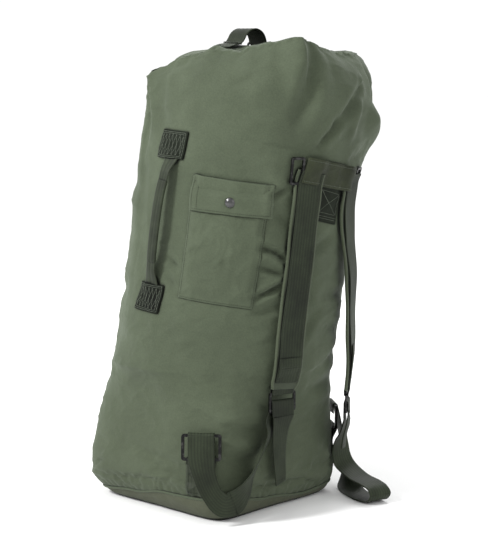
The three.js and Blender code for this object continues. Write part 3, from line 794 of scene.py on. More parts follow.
# ---------- pocket ----------
POCKET = [(-23, 371), (16, 355), (18.4, 556), (-22.6, 574)]
FLAP = [(-21.6, 516), (20.2, 503), (19.4, 554), (-23.4, 570)]
SNAP = (-1, 530)


def pocket_lift(u, v):
    """The pocket is sewn down at its sides and foot, and stands off the bag towards its mouth."""
    sides = smooth(u / 0.12) * smooth((1 - u) / 0.12) * smooth(v / 0.10)
    rumple = noise.noise(Vector((u * 5, v * 6, 2.2))) + 0.9 * crinkle(Vector((u, v, 0)), (5, 6, 1), 9.2)
    hook = math.exp(-(((u - 0.62) / 0.05) ** 2 + ((v - 0.42) / 0.12) ** 2)) - math.exp(
        -(((u - 0.56) / 0.06) ** 2 + ((v - 0.36) / 0.09) ** 2))
    return 2.2 * MM + (3.0 + 2.5 * v) * MM * sides + (1.1 * rumple + 1.6 * hook) * MM * sides


def flap_lift(u, v):
    """The flap hangs over the pocket, its lower corners a little proud."""
    reach = smooth((1 - v) / 0.5)
    corner = abs(u - 0.5) ** 3 * 8
    ease = noise.noise(Vector((u * 4, v * 2, 7.3)))
    under = 3.2 * MM * smooth(u / 0.10) * smooth((1 - u) / 0.10) * reach
    return 3.0 * MM + 4.6 * MM * reach + under + reach * (1.6 * MM * corner + 1.6 * MM * ease)


def make_pocket():
    body_piece = panel("pocket", POCKET, pocket_lift, 1.3 * MM, DUCK, 72, 84)
    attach(body_piece, "bag")
    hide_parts("pocket_body")
    seam, low = 0.022, 0.022 * 0.7
    runs = [((seam, 0.93), (seam, low)), ((seam, low), (1 - seam, low)), ((1 - seam, low), (1 - seam, 0.93))]
    for n, (a, b) in enumerate(runs):
        stitches(f"pocket_stitches_{n}", over_panel(POCKET, pocket_lift, a, b, 60), from_axis, "bag")
    flap = panel("pocket_flap_cloth", FLAP, flap_lift, 2.2 * MM, DUCK, 72, 30)
    hinge = on_cloth(*bilinear(FLAP, 0.5, 1.0), 3 * MM)
    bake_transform(flap)
    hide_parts("pocket_flap")
    edge = 0.03
    rows = [((edge, 0.90), (edge, 0.07)), ((edge, 0.07), (1 - edge, 0.07)),
            ((1 - edge, 0.07), (1 - edge, 0.90)),
            ((0.105, 0.90), (0.105, 0.05)), ((edge, 0.88), (1 - edge, 0.88))]
    for n, (a, b) in enumerate(rows):
        row = stitches(f"flap_stitches_{n}", over_panel(FLAP, flap_lift, a, b, 60), from_axis, "flap")
        row.parent = None
        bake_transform(row)
    seam = [(-23.4, 568), (19.4, 552), (19.4, 557), (-23.4, 573)]
    strip = panel("flap_seam", seam, lambda u, v: (3.4 - 1.6 * v) * MM, 1.4 * MM, DUCK, 60, 6)
    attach(strip, "bag")
    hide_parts("flap_seam_strip")


make_pocket()


def turned(name, profile, centre, out, material, segments=40):
    """A turned piece: profile is (radius, height) from its middle out, along the way it looks."""
    out = out.normalized()
    side = out.orthogonal().normalized()
    up = out.cross(side)
    points = []
    for r, h in profile:
        for k in range(segments):
            a = 2 * math.pi * k / segments
            points.append(centre + side * (r * math.cos(a)) + up * (r * math.sin(a)) + out * h)
    return finish_mesh(name, points, loft_faces(len(profile), segments, caps=True), material)


def make_snap():
    out = from_axis(on_cloth(SNAP[0], SNAP[1] * MM))
    centre = on_cloth(SNAP[0], SNAP[1] * MM, flap_lift(0.5, 0.42) + 0.2 * MM)
    profile = [(0.1, -0.3), (7.8, -0.3), (8.0, 0.3), (7.7, 0.9), (6.9, 1.2), (6.4, 1.5), (5.6, 2.3),
               (4.0, 3.0),
               (2.0, 3.4), (0.1, 3.5)]
    cap = turned("snap_cap_dome", [(r * MM, h * MM) for r, h in profile], centre, out, CAP_METAL)
    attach(cap, "flap")
    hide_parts("snap_cap")
    inner = centre - out * 2.4 * MM
    ring_profile = [(3.6, 0), (5.6, 0), (6.0, -0.5), (5.8, -1.1), (4.4, -1.3), (3.7, -1.0), (3.6, -0.1)]
    socket = turned("snap_socket_ring", [(r * MM, h * MM) for r, h in ring_profile], inner, out, METAL)
    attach(socket, "flap")
    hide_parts("snap_socket")
    foot = on_cloth(SNAP[0], SNAP[1] * MM, pocket_lift(0.5, 0.82) + 0.1 * MM)
    stud_profile = [(0.1, -0.2), (5.0, -0.2), (5.0, 0.4), (3.2, 0.5), (2.9, 1.1), (3.3, 1.7), (2.6, 2.2),
                    (0.1, 2.4)]
    stud = turned("snap_stud_post", [(r * MM, h * MM) for r, h in stud_profile], foot, out, METAL)
    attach(stud, "bag")
    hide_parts("snap_stud")


make_snap()


# ---------- side handle ----------
def stop(bearing, z, off, look=None, scale=1.0):
    return plain(bearing, z * MM, off * MM), facing(bearing if look is None else look), scale


def sewn(bearing, z, off, scale=1.0):
    return on_cloth(bearing, z * MM, off * MM), facing(bearing), scale


def tube_section(width, thick):
    """Webbing folded lengthwise: a fat flattened tube with a seam down its outer face."""
    found = []
    for k in range(24):
        a = 2 * math.pi * k / 24
        x = width / 2 * math.copysign(abs(math.cos(a)) ** 0.8, math.cos(a))
        y = thick / 2 * math.copysign(abs(math.sin(a)) ** 0.8, math.sin(a))
        if y > 0 and abs(x) < width * 0.12:
            y -= 0.9 * MM * (1 - abs(x) / (width * 0.12))
        found.append((x, y))
    return found


LIGHT_THREAD = woven("light_thread", (0.12, 0.14, 0.105), 0.5 * MM, rough=0.6, sheen=0.1)
UPPER_PATCH = [(-50.5, 598), (-31.4, 596), (-30.6, 641), (-48.8, 644)]
LOWER_PATCH = [(-50.5, 345), (-33.5, 341), (-32.2, 388), (-48.6, 391)]


def patch_lift(u, v, foot):
    """A sewn patch: raised over the handle's end where that comes out from under it."""
    near = smooth(1 - abs(v - foot) / 0.55) * math.exp(-((u - 0.5) / 0.34) ** 4)
    return (3.6 + 4.4 * near + 0.5 * noise.noise(Vector((u * 5, v * 5, foot)))) * MM


def make_handle():
    for name, corners, node_name, foot in (("upper", UPPER_PATCH, "handle_end_upper", 0.0),
                                           ("lower", LOWER_PATCH, "handle_end_lower", 1.0)):
        over = panel(f"handle_{name}_patch", corners, lambda u, v: patch_lift(u, v, foot), 1.8 * MM,
                     PATCH_WEB, 40, 40)
        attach(over, "bag")
        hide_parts(node_name)
        peaks = 3
        zig = [(0.10 + 0.8 * i / (2 * peaks), 0.12 if i % 2 == 0 else 0.88) for i in range(2 * peaks + 1)]
        zag = [(u, 1 - v) for u, v in zig]
        box = [(0.05, 0.05), (0.95, 0.05), (0.95, 0.95), (0.05, 0.95), (0.05, 0.05)]
        inner = [(0.5 + (u - 0.5) * 0.88, 0.5 + (v - 0.5) * 0.88) for u, v in box]
        for n, outline in enumerate((zig, zag, box, inner)):
            path = []
            for a, b in zip(outline, outline[1:]):
                path += over_panel(corners, lambda u, v: patch_lift(u, v, foot), a, b, 15)[:-1]
            stitches(f"handle_{name}_zigzag_{n}", path, from_axis, "bag", 2.4 * MM, 0.9 * MM, LIGHT_THREAD)
    grip = [stop(-38, 562, 13), stop(-38, 540, 16), stop(-38.4, 495, 17.5), stop(-39, 450, 16),
            stop(-39.6, 428, 13)]
    held = sweep("handle_grip_webbing", grip, tube_section(20 * MM, 8 * MM), 60, LIGHT_WEB,
                 twist_wave=0.6 * MM)
    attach(held, "side_handle")
    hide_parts("handle_grip")
    upper = [sewn(-39.35, 608, 1.6, 1.85), sewn(-39.3, 602, 2.2, 1.75), sewn(-39.1, 594, 4.6, 1.45),
             stop(-38.4, 578, 10, scale=1.05), stop(-38, 560, 13.4, scale=0.98)]
    lower = [sewn(-41.1, 380, 1.6, 1.85), sewn(-41.0, 386, 2.2, 1.75), sewn(-40.7, 396, 4.6, 1.45),
             stop(-40.2, 412, 10, scale=1.05), stop(-39.6, 430, 13.4, scale=0.98)]
    for name, run in (("upper", upper), ("lower", lower)):
        end = sweep(f"handle_{name}_flare", run, tube_section(20 * MM, 4.6 * MM), 40, LIGHT_WEB)
        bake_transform(end)


make_handle()


# ---------- shoulder straps ----------
def rail(stops, steps, x, y):
    """Points along a swept strap, x across and y out from its middle."""
    path = catmull([s[0] for s in stops], steps)
    looks = catmull([s[1] for s in stops], steps)
    found = []
    for i, at in enumerate(path):
        along = (path[min(i + 1, steps)] - path[max(i - 1, 0)]).normalized()
        look = (looks[i] - along * looks[i].dot(along)).normalized()
        found.append(at + along.cross(look) * x + look * y)
    return found


def pad_section(width, thick):
    """A padded strap: full in the middle, drawn down to its bound edges."""
    found = []
    for k in range(40):
        a = 2 * math.pi * k / 40
        x = width / 2 * math.copysign(abs(math.cos(a)) ** 0.45, math.cos(a))
        y = thick / 2 * math.copysign(abs(math.sin(a)) ** 0.75,
                                      math.sin(a)) * (1 - 0.35 * abs(2 * x / width) ** 4)
        found.append((x, y))
    return found


def lifted(stops, out):
    return [(p + Vector(look) * out, look, scale) for p, look, scale in stops]


PAD_WIDE, PAD_WEB, PAD_THICK = 53 * MM, 41 * MM, 7 * MM
LEFT_PAD = [sewn(37, 577, 4.2, 0.97), sewn(37, 558, 4.8), stop(37.2, 530, 6.6), stop(37.6, 480, 7),
            stop(37.2, 400, 9), stop(36.6, 320, 13), stop(36.8, 262, 17.5), stop(37.2, 232, 19.6),
            stop(37.4, 221, 20, scale=0.88)]
RIGHT_PAD = [sewn(69.2, 567, 4.0, 0.95), sewn(69.5, 556, 4.4, 0.98), sewn(69.8, 538, 5.4),
             stop(70.4, 508, 7), stop(73, 460, 11),
             stop(77, 400, 18), stop(81, 320, 24), stop(84, 260, 29), stop(86, 204, 33, 88),
             stop(86.2, 194, 33, 89, 0.88)]


def make_pad(side, stops, bodies):
    pad = sweep(f"shoulder_pad_{side}_cloth", stops, pad_section(PAD_WIDE, PAD_THICK), 110, PAD,
                twist_wave=0.5 * MM)
    strap_stops = lifted(stops[:-1], PAD_THICK / 2 + WEB_THICK / 2 + 0.2 * MM)
    web = sweep(f"pad_webbing_{side}_tape", strap_stops, tape_section(PAD_WEB, WEB_THICK, 8), 110, WEBBING,
                twist_wave=0.5 * MM)
    edges = []
    for k, sign in enumerate((-1, 1)):
        section = [(sign * 24.2 * MM + 3.0 * MM * math.cos(a), 2.8 * MM * math.sin(a))
                   for a in (2 * math.pi * j / 16 for j in range(16))]
        edges.append(sweep(f"pad_binding_{side}_{k}", stops, section, 110, EDGE, twist_wave=0.5 * MM))
    binding = joined(f"pad_binding_{side}", edges)
    sewing = []
    for k, x in enumerate((-18.6, 18.6, -21.9, 21.9)):
        inner = abs(x) < 20
        high = PAD_THICK / 2 + (WEB_THICK + 0.25 * MM if inner else -0.9 * MM)
        path = rail(stops[:-1], 200, x * MM, high)
        row = stitches(f"pad_stitches_{side}_{k}", path, from_axis, bodies[1], 4 * MM, 0.7 * MM,
                       THREAD if inner else DARK_THREAD)
        row.parent = None
        sewing.append(row)
    for piece in (pad, web, binding, *sewing):
        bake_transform(piece)
    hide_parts(f"shoulder_pad_{side}")
    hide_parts(f"pad_webbing_{side}")


make_pad("left", LEFT_PAD, ("bag", "shoulder_strap_l"))
make_pad("right", RIGHT_PAD, ("bag", "shoulder_strap_r"))


def half_turn(centre, look, radius, turn=1):
    """Stops round half a level bar, from the side that look faces over its top to the other side."""
    found = []
    for k in range(9):
        a = math.pi * k / 8
        out = look * math.cos(a) + Vector((0, 0, 1)) * (math.sin(a) * turn)
        found.append((centre + out * radius, out, 1.0))
    return found


def over_bar(centre, look, rise, radius, turn=1):
    """Stops of webbing that goes over a level bar: up behind it, over its top and down in front."""
    return half_turn(centre + Vector((0, 0, rise)), look, radius, turn)[::-1]


def make_adjuster(side, centre, look, pad_stops, tail, body_name):
    up = Vector((0, 0, 1))
    last = pad_stops[-3]
    start = last[0] + last[1] * (PAD_THICK / 2 + WEB_THICK * 1.7)
    loop = [(start + up * 0.012, look, 1.0), (start - up * 0.004, look, 1.0)]
    around = over_bar(centre, look, 0.0155, 2.9 * MM, -1)[::-1]
    loop += [(centre + up * 0.020 + look * 3.7 * MM, look, 1.0)] + around
    loop += [(centre + up * 0.021 - look * 3.2 * MM, -look, 1.0),
             (centre + up * 0.027 - look * 2.0 * MM, -look, 1.0)]
    piece = sweep(f"adjuster_loop_{side}", loop, tape_section(PAD_WEB, WEB_THICK, 8), 90, WEBBING)
    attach(piece, body_name)
    rows = []
    for y in (0.6, 4.2):
        row_at = start - up * (0.002 + y * MM) + look * 1.2 * MM
        path = [row_at + up.cross(look) * (x * MM) for x in range(-19, 20, 2)]
        rows.append(stitches(f"adjuster_stitches_{side}_{int(y)}", path, lambda p: look, body_name, 3 * MM))
    run = [(centre - up * 0.026 - look * 3.8 * MM, -look, 1.0),
           (centre - up * 0.016 - look * 3.6 * MM, -look, 1.0),
           (centre - up * 0.006 - look * 3.4 * MM, -look, 1.0)]
    run += over_bar(centre, look, 0.0, 3.3 * MM)
    run += [(centre - up * 0.007 + look * 3.4 * MM, look, 1.0),
            (centre - up * 0.015 + look * 3.5 * MM, look, 1.0),
            (centre - up * 0.024 + look * 4.0 * MM, look, 0.97)]
    over = sweep(f"adjuster_slide_{side}", run, tape_section(PAD_WEB, WEB_THICK, 8), 110, WEBBING)
    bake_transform(over)
    hanging = [(centre - up * 0.0236 + look * 4.0 * MM, look, 0.97), *tail]
    end = sweep(f"strap_tail_{side}_tape", hanging, tape_section(PAD_WEB, WEB_THICK, 8, crown=0.6 * MM), 80,
                WEBBING, twist_wave=0.8 * MM)
    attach(end, body_name)
    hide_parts(f"strap_tail_{side}")
    foot = rail(hanging, 200, 0, 2.0 * MM)
    tip = foot[int(200 * 0.955)]
    way = up.cross(hanging[-1][1]).normalized()
    for k, rise in enumerate((0, 5)):
        path = [tip + up * (rise * MM) + way * (x * MM) for x in range(-15, 16, 2)]
        stitches(f"tail_stitches_{side}_{k}", path, lambda p: Vector(hanging[-1][1]), body_name, 3 * MM)


def middle_of(name):
    """Where a CAD node is: the middle of its box."""
    low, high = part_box(name)
    return (Vector(low) + Vector(high)) / 2


LEFT_ADJUSTER, RIGHT_ADJUSTER = middle_of("adjuster_frame_left"), middle_of("adjuster_frame_right")
LEFT_LOOK, RIGHT_LOOK = 38.9, 89
left_tail = [stop(41.2, 146, 23, 46, 0.82), stop(43.6, 98, 19, 54, 0.7), stop(45.8, 52, 16, 60, 0.66)]
right_tail = [stop(85, 130, 42, 87, 0.96), stop(84, 110, 41, 85, 0.94), stop(83.5, 91, 40, 83, 0.92)]
make_adjuster("left", LEFT_ADJUSTER, facing(LEFT_LOOK), LEFT_PAD, left_tail, "shoulder_strap_l")
make_adjuster("right", RIGHT_ADJUSTER, facing(RIGHT_LOOK), RIGHT_PAD, right_tail, "shoulder_strap_r")


# ---------- lower straps, from the adjusters to the rings ----------
def free(x, y, z, look):
    way = facing(look) if isinstance(look, (int, float)) else Vector(look).normalized()
    return Vector((x, y, z)) * MM, way, 1.0


RING_BAR = 0.0195  # the middle of a lower ring to the middle of its bars


def ring_wrap(ring_centre, bearing):
    """The strap's end: over the ring's top bar from the front and sewn to itself behind."""
    look, up = facing(bearing), Vector((0, 0, 1))
    top = ring_centre + up * RING_BAR
    return half_turn(top, look, 3.9 * MM) + [(top - up * 0.014 - look * 3.2 * MM, -look, 1.0)]


def lower_strap(side, hanging, rising, ring_bearing):
    """hanging runs from the adjuster to the lowest slack; rising goes on from there to the ring."""
    wrap = ring_wrap(middle_of(f"lower_ring_{side}"), ring_bearing)
    whole = hanging + rising[1:] + wrap
    steps, parting = 14 * (len(whole) - 1), 14 * (len(hanging) - 1)
    section = tape_section(42 * MM, WEB_THICK, 8)
    a = sweep(f"lower_strap_{side}_hanging", whole, section, steps, WEBBING, 0.5 * MM, (0, parting))
    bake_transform(a)
    b = sweep(f"lower_strap_{side}_rising", whole, section, steps, WEBBING, 0.5 * MM, (parting, steps))
    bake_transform(b)
    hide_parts(f"lower_strap_{side}")
    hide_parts(f"lower_strap_{side}")


behind_left = (LEFT_ADJUSTER - Vector((0, 0, 0.0255)) - facing(LEFT_LOOK) * 3.8 * MM, facing(LEFT_LOOK), 1.0)
left_hang = [behind_left, stop(36.0, 160, 17, 66), stop(34.0, 140, 21, 90), stop(30, 108, 23, 99),
             stop(26, 82, 22, 94), stop(21, 54, 21, 66), stop(16, 39, 20, 36)]
left_rise = [stop(16, 39, 20, 36), stop(11.5, 38, 19, 26, 0.9), stop(7.4, 56, 17, 24, 0.78),
             stop(4.2, 84, 15.5, 14, 0.84),
             stop(2.2, 112, 15, 4)]
lower_strap("left", left_hang, left_rise, 1.5)
behind_right = (RIGHT_ADJUSTER - Vector((0, 0, 0.0255)) - facing(RIGHT_LOOK) * 3.8 * MM, facing(RIGHT_LOOK),
                1.0)
right_hang = [behind_right, free(218, -4, 124, 78), free(214, 4, 108, 66), free(213, 14, 82, 52),
              free(219, 18, 54, (0.5, -0.6, 0.6)), free(244, -8, 36, (0.1, -0.2, 2)),
              free(269, -40, 33, (0.1, -0.2, 2)),
              free(281, -54, 28, (0.5, -0.6, 0.8)), free(286, -60, 18, (3, -4, 0))]
right_rise = [free(286, -60, 18, (3, -4, 0)), free(281, -54, 7, (0.4, -0.5, -0.7)),
              free(268, -38, 3, (0, 0, -1)),
              free(246, -6, 2.6, (0, 0, -1)), free(230, 34, 5, (0.1, 0.1, -1)),
              free(224, 54, 34, (0.9, 0.4, -0.4)), free(214, 56, 88, 105)]
lower_strap("right", right_hang, right_rise, 105)


# ---------- the yoke that holds the straps ----------
def band_lift(u, v):
    """The band lies on the cloth and rises over the two padded straps under it."""
    over = max(math.exp(-((u - 0.15) / 0.21) ** 4), math.exp(-((u - 1.0) / 0.2) ** 4))
    return (4.2 + 8.8 * over + 0.8 * noise.noise(Vector((u * 6, v * 2, 3.3)))) * MM


YOKE_WEB = [(45, 497), (61, 485), (61, 572), (45, 588)]
YOKE_BAND = [(31.6, 560), (66.8, 538), (66.8, 579), (31.6, 602)]


def make_yoke():
    web = panel("yoke_webbing", YOKE_WEB, lambda u, v: 2.9 * MM, 2.0 * MM, PATCH_WEB, 40, 40)
    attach(web, "bag")
    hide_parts("yoke_anchor_webbing")
    for k, v in enumerate((0.06, 0.10)):
        stitches(f"yoke_foot_stitches_{k}", line_on(YOKE_WEB, (0.05, v), (0.95, v), 3.0 * MM), from_axis,
                 "bag",
                 3 * MM, 0.8 * MM, LIGHT_THREAD)
    box = [(0.10, 0.16), (0.10, 0.56), (0.90, 0.56), (0.90, 0.16), (0.10, 0.56), (0.5, 0.36), (0.90, 0.56),
           (0.10, 0.16),
           (0.90, 0.16)]
    path = []
    for a, b in zip(box, box[1:]):
        path += line_on(YOKE_WEB, a, b, 3.0 * MM, 12)
    stitches("yoke_box_stitches", path, from_axis, "bag", 3 * MM, 0.8 * MM, LIGHT_THREAD)
    band = panel("yoke_band_webbing", YOKE_BAND, band_lift, 2.0 * MM, OLIVE_WEB, 100, 24)
    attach(band, "bag")
    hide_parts("yoke_band")
    for k, v in enumerate((0.10, 0.90)):
        path = over_panel(YOKE_BAND, band_lift, (0.03, v), (0.97, v), 80)
        stitches(f"yoke_band_stitches_{k}", path, from_axis, "bag", 3 * MM, 0.75 * MM, LIGHT_THREAD)


make_yoke()


# ---------- ring anchors ----------
def make_tab(side, bearing):
    """The webbing tab that holds a lower ring, boxed with stitches and looped over its bar."""
    corners = [(bearing - 7.0, 47), (bearing + 5.6, 47), (bearing + 5.6, 106), (bearing - 7.0, 106)]
    tab = panel(f"anchor_tab_{side}_webbing", corners, lambda u,
                v: (3.0 + 4.2 * smooth((v - 0.7) / 0.3)) * MM, 1.8 * MM,
                LIGHT_WEB, 30, 30)
    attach(tab, "bag")
    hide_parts(f"anchor_tab_{side}")
    look, up = facing(bearing), Vector((0, 0, 1))
    bar = middle_of(f"lower_ring_{side}") - up * RING_BAR
    run = [(plain(bearing, 0.098, 6.6 * MM), look, 1.0), *half_turn(bar, look, 3.8 * MM),
           (plain(bearing, 0.098, 2.0 * MM), -look, 1.0)]
    loop = sweep(f"anchor_loop_{side}", run, tape_section(46 * MM, 1.6 * MM, 7), 60, LIGHT_WEB)
    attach(loop, "bag")
    box = [(0.1, 0.08), (0.9, 0.08), (0.9, 0.62), (0.1, 0.62), (0.1, 0.08), (0.9, 0.62), (0.1, 0.62),
           (0.9, 0.08)]
    path = []
    for a, b in zip(box, box[1:]):
        path += line_on(corners, a, b, 3.1 * MM, 12)
    stitches(f"anchor_stitches_{side}", path, from_axis, "bag", 3 * MM, 0.8 * MM, DARK_THREAD)


make_tab("left", 1.5)
make_tab("right", 105)


# ---------- the mouth and its four lugs ----------
LUG_LIST = [("front", -23, 769, 102, "front_lug"), ("right", 67, 761, 102, "right_lug"),
            ("back", 157, 769, 102, "back_lug"), ("left", 247, 761, 118, "left_lug")]
MOUTH_SIDE = 0.112  # centre of the mouth to the middle of its side
LUG_ROOT, LUG_TIP = 0.084, 0.026  # half widths of a lug
LUG_TUCK = 14  # how far a lug reaches out past its hinge, in mm


def lug_half(depth, reach):
    """Half the width of a lug, depth inwards of its hinge."""
    return LUG_ROOT - (LUG_ROOT - LUG_TIP) * max(0, min(1, (depth - 0.004) / (reach * MM - 0.004)))


def mouth_axis():
    p = axis_at(MOUTH_Z)
    return Vector((p.x, p.y, 0))


def hem_point(bearing, inwards=0.0, drop=0.0):
    r, z = hem_at(bearing)
    p = mouth_axis() + facing(bearing) * (r - inwards)
    p.z = z - drop
    return p


def make_facing():
    """The turned-in edge of the mouth, folded deeper at the corners."""
    grid = []
    for step in range(9):
        s = step / 8
        row = []
        for j in range(AROUND):
            b = 360 * j / AROUND
            r, z = hem_at(b)
            corner = smooth((r - 0.128) / 0.03)
            depth = 0.014 + 0.052 * corner
            inward = depth * s + 0.0005
            under_front = smooth((abs(math.cos(math.radians(b + 23))) - 0.78) / 0.1)
            low = min(0.7585 + 0.0075 * under_front,
                      z - 0.004) + 0.001 * noise.noise(Vector((b / 24, s * 2, 0.5)))
            turn = 1 - (1 - s) ** 2.2
            p = mouth_axis() + facing(b) * (r - inward)
            p.z = z + (low - z) * turn - 0.0008 * min(1, s * 8)
            row.append(p)
        grid.append(row)
    obj = cloth_shell("mouth_facing", grid, DUCK)
    thicken(obj, 1.0 * MM)
    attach(obj, "bag")


make_facing()


def make_lug(name, bearing, hinge_z, reach, body_name):
    """A folded-in lug: from the hem over the hinge line to its narrow tip."""
    inward = -facing(bearing)
    along = facing(bearing + 90)
    middle = mouth_axis() + facing(bearing) * MOUTH_SIDE
    nu, nv = 72, 60
    outer, inner, cloth = [], [], []
    for i in range(nv + 1):
        v = i / nv
        for j in range(nu + 1):
            u = 2 * j / nu - 1
            depth = (reach + LUG_TUCK) * MM * v - LUG_TUCK * MM
            half = lug_half(depth, reach)
            p = middle + along * (u * half) + inward * depth
            if depth < 0.016:
                rel = p - mouth_axis()
                b = math.degrees(math.atan2(rel.x, -rel.y))
                r, z = hem_at(b)
                edge = hem_point(b, 1.0 * MM, -0.9 * MM)
                t = smooth((depth + 0.014) / 0.030)
                p = Vector((edge.x, edge.y, 0)).lerp(Vector((p.x, p.y, 0)), max(t, (depth + 0.014) / 0.030))
                p.z = edge.z + (hinge_z * MM + 0.0018 - edge.z) * t
            else:
                p.z = hinge_z * MM + 0.0018
            if name == "front":
                p.z += 0.009 * math.exp(-(((depth - 0.034) / 0.022) ** 2) - (u / 0.75) ** 4)
            ease = smooth((depth + 0.01) / 0.03)
            p.z += ease * (1.1 * MM * noise.noise(Vector((u * 3 + bearing, v * 3, 1.7)))
                           + 0.5 * MM * noise.noise(Vector((u * 8, v * 9 + bearing, 4.2))))
            outer.append(p)
            inner.append(p - Vector((0, 0, 1.3 * MM)))
            cloth.append((u * half, depth, 0))
    lug = two_faced(f"lug_{name}_cloth", outer, inner, nu, nv, DUCK, cloth)
    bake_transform(lug)
    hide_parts(f"lug_{name}")

    def sewing_line(k, a, b):
        path = []
        for i in range(41):
            t = i / 40
            u, depth = a[0] + (b[0] - a[0]) * t, (a[1] + (b[1] - a[1]) * t) * MM
            half = lug_half(depth, reach) - 0.005
            v = (depth + LUG_TUCK * MM) / ((reach + LUG_TUCK) * MM)
            p = middle + along * (u * half) + inward * depth
            p.z = hinge_z * MM + 0.0019 + 1.1 * MM * noise.noise(Vector((u * 3 + bearing, v * 3, 1.7)))
            path.append(p)
        stitches(f"lug_{name}_stitches_{k}", path, lambda p: Vector((0, 0, 1)), body_name)

    sewing_line(0, (-1, 20), (-1, reach - 5))
    sewing_line(1, (1, 20), (1, reach - 5))
    sewing_line(2, (-0.9, reach - 5), (0.9, reach - 5))


for row in LUG_LIST:
    make_lug(*row)


# ---------- closure strap ----------
def lug_frame(bearing, hinge_z):
    """(origin, way along the hinge, way inwards) of a lug."""
    origin = mouth_axis() + facing(bearing) * MOUTH_SIDE + Vector((0, 0, hinge_z * MM))
    return origin, facing(bearing + 90), -facing(bearing)


def make_closure():
    origin, along, inward = lug_frame(-23, 769)
    up = Vector((0, 0, 1))

    def at(y, z, x=0.0):
        return origin + inward * (y * MM) + up * (z * MM) + along * (x * MM)

    stops = [(at(8, 8.0, -22), up, 1.0), (at(14, 10.2, -19), up, 1.0), (at(22, 12.4, -15), up, 1.0),
             (at(31, 13.4, -10), up, 1.0)]
    patch = sweep("closure_patch_webbing", stops, tape_section(50 * MM, WEB_THICK, 8), 20, WEBBING)
    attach(patch, "front_lug")
    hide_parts("closure_patch")
    arch = [(25, 15.4, -13.4), (31, 16.0, -10), (36, 22, -8), (41, 30, -6), (50, 36.4, -2), (60, 37.4, 3),
            (70, 31, 8),
            (76, 20, 10), (78, 10, 10)]
    skew = (along * 0.88 - inward * 0.36).normalized()
    run = []
    for k, (y, z, x) in enumerate(arch):
        a, b = arch[max(k - 1, 0)], arch[min(k + 1, len(arch) - 1)]
        way = (at(*b) - at(*a)).normalized()
        normal = skew.cross(way) if skew.cross(way).dot(at(y, z, x) - at(56, 8)) > 0 else way.cross(skew)
        run.append((at(y, z, x), normal, 1.0))
    strap = sweep("closure_strap_webbing", run, tape_section(44 * MM, WEB_THICK, 8), 90, WEBBING)
    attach(strap, "closure")
    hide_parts("closure_strap")
    for k, (y, z) in enumerate(((15, 12.0), (18, 12.9), (24, 14.3), (27, 14.8))):
        path = [at(y - 0.36 / 0.88 * x, z, x - 26 + 0.56 * y) for x in range(-20, 21, 2)]
        stitches(f"closure_stitches_{k}", path, lambda p: up, "front_lug", 3 * MM, 0.8 * MM, LIGHT_THREAD)


make_closure()


# ---------- metal ----------
METAL_NODES = [
    "yoke_ring_left", "yoke_ring_right", "lower_ring_left", "lower_ring_right", "adjuster_frame_left",
    "adjuster_frame_right", "adjuster_bar_left", "adjuster_bar_right", "grommet_front", "grommet_right",
    "grommet_back", "closure_staple", "snap_hook_body", "snap_hook_gate",
]
for name in METAL_NODES:
    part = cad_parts[name]
    part.data.materials.clear()
    part.data.materials.append(METAL)
    soft_edge = part.modifiers.new("rounded edges", "BEVEL")
    soft_edge.width, soft_edge.segments, soft_edge.limit_method = 0.45 * MM, 2, "ANGLE"
    soft_edge.harden_normals = True
    part.data.polygons.foreach_set("use_smooth", [True] * len(part.data.polygons))


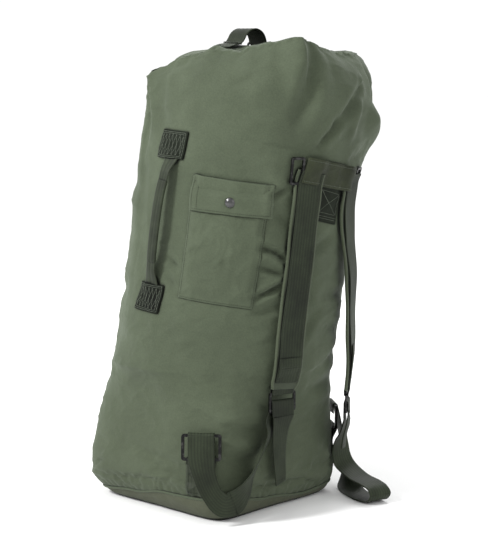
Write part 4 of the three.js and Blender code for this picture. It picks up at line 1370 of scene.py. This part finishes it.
# ---------- floor, light and camera ----------
def make_stage():
    material, nodes, links, shader = new_material("studio_floor")
    grain = node(nodes, "ShaderNodeTexNoise", Scale=3.0, Detail=3.0)
    tone = ramp(nodes, links, grain.outputs["Fac"], [(0.2, (0.90, 0.90, 0.90)), (0.8, (0.93, 0.93, 0.93))])
    place = nodes.new("ShaderNodeNewGeometry")
    away = node(nodes, "ShaderNodeVectorMath", operation="LENGTH")
    links.new(place.outputs["Position"], away.inputs[0])
    far = node(nodes, "ShaderNodeMapRange")
    far.inputs["From Min"].default_value, far.inputs["From Max"].default_value = 0.8, 3.0
    links.new(away.outputs["Value"], far.inputs["Value"])
    pale = mixed(nodes, links, "MIX", far.outputs["Result"], tone, (0.995, 0.995, 0.995))
    links.new(pale, shader.inputs["Base Color"])
    shader.inputs["Roughness"].default_value = 0.9
    bpy.ops.mesh.primitive_plane_add(size=40, location=(0, 0, 0))
    floor = bpy.context.object
    floor.name = "floor"
    floor.data.materials.append(material)
    world = bpy.data.worlds.new("studio")
    world.use_nodes = True
    world.node_tree.nodes["Background"].inputs["Color"].default_value = (1, 1, 1, 1)
    world.node_tree.nodes["Background"].inputs["Strength"].default_value = 1.04
    bpy.context.scene.world = world


def area_light(name, place, aim, size, power, colour=(1, 1, 1)):
    light = bpy.data.lights.new(name, "AREA")
    light.shape, light.size, light.energy, light.color = "DISK", size, power, colour
    lamp = bpy.data.objects.new(name, light)
    lamp.location = place
    lamp.rotation_euler = (Vector(aim) - Vector(place)).to_track_quat("-Z", "Y").to_euler()
    bpy.context.scene.collection.objects.link(lamp)


LENS = 110.6
CAMERA_BEARING, CAMERA_AWAY, CAMERA_HEIGHT = 7, 2.9, 0.80
LOOK_DOWN, LOOK_ASIDE = 8.15, 0.88  # degrees


def make_camera():
    data = bpy.data.cameras.new("camera")
    data.lens, data.sensor_width, data.sensor_fit = LENS, 36, "AUTO"
    camera = bpy.data.objects.new("camera", data)
    turn = math.radians(CAMERA_BEARING)
    camera.location = (math.sin(turn) * CAMERA_AWAY, -math.cos(turn) * CAMERA_AWAY, CAMERA_HEIGHT)
    camera.rotation_euler = (math.radians(90 - LOOK_DOWN), 0, turn - math.radians(LOOK_ASIDE))
    bpy.context.scene.collection.objects.link(camera)
    bpy.context.scene.camera = camera


make_stage()
area_light("key", (-2.4, -1.9, 2.7), (0, 0, 0.45), 0.9, 150)
area_light("fill", (2.4, -1.8, 1.6), (0.1, 0, 0.4), 2.2, 10)
area_light("rim", (0.4, 2.2, 2.4), (0, 0, 0.5), 1.8, 30)
make_camera()
bpy.context.scene.view_settings.view_transform = "Standard"
bpy.context.scene.view_settings.look = "None"
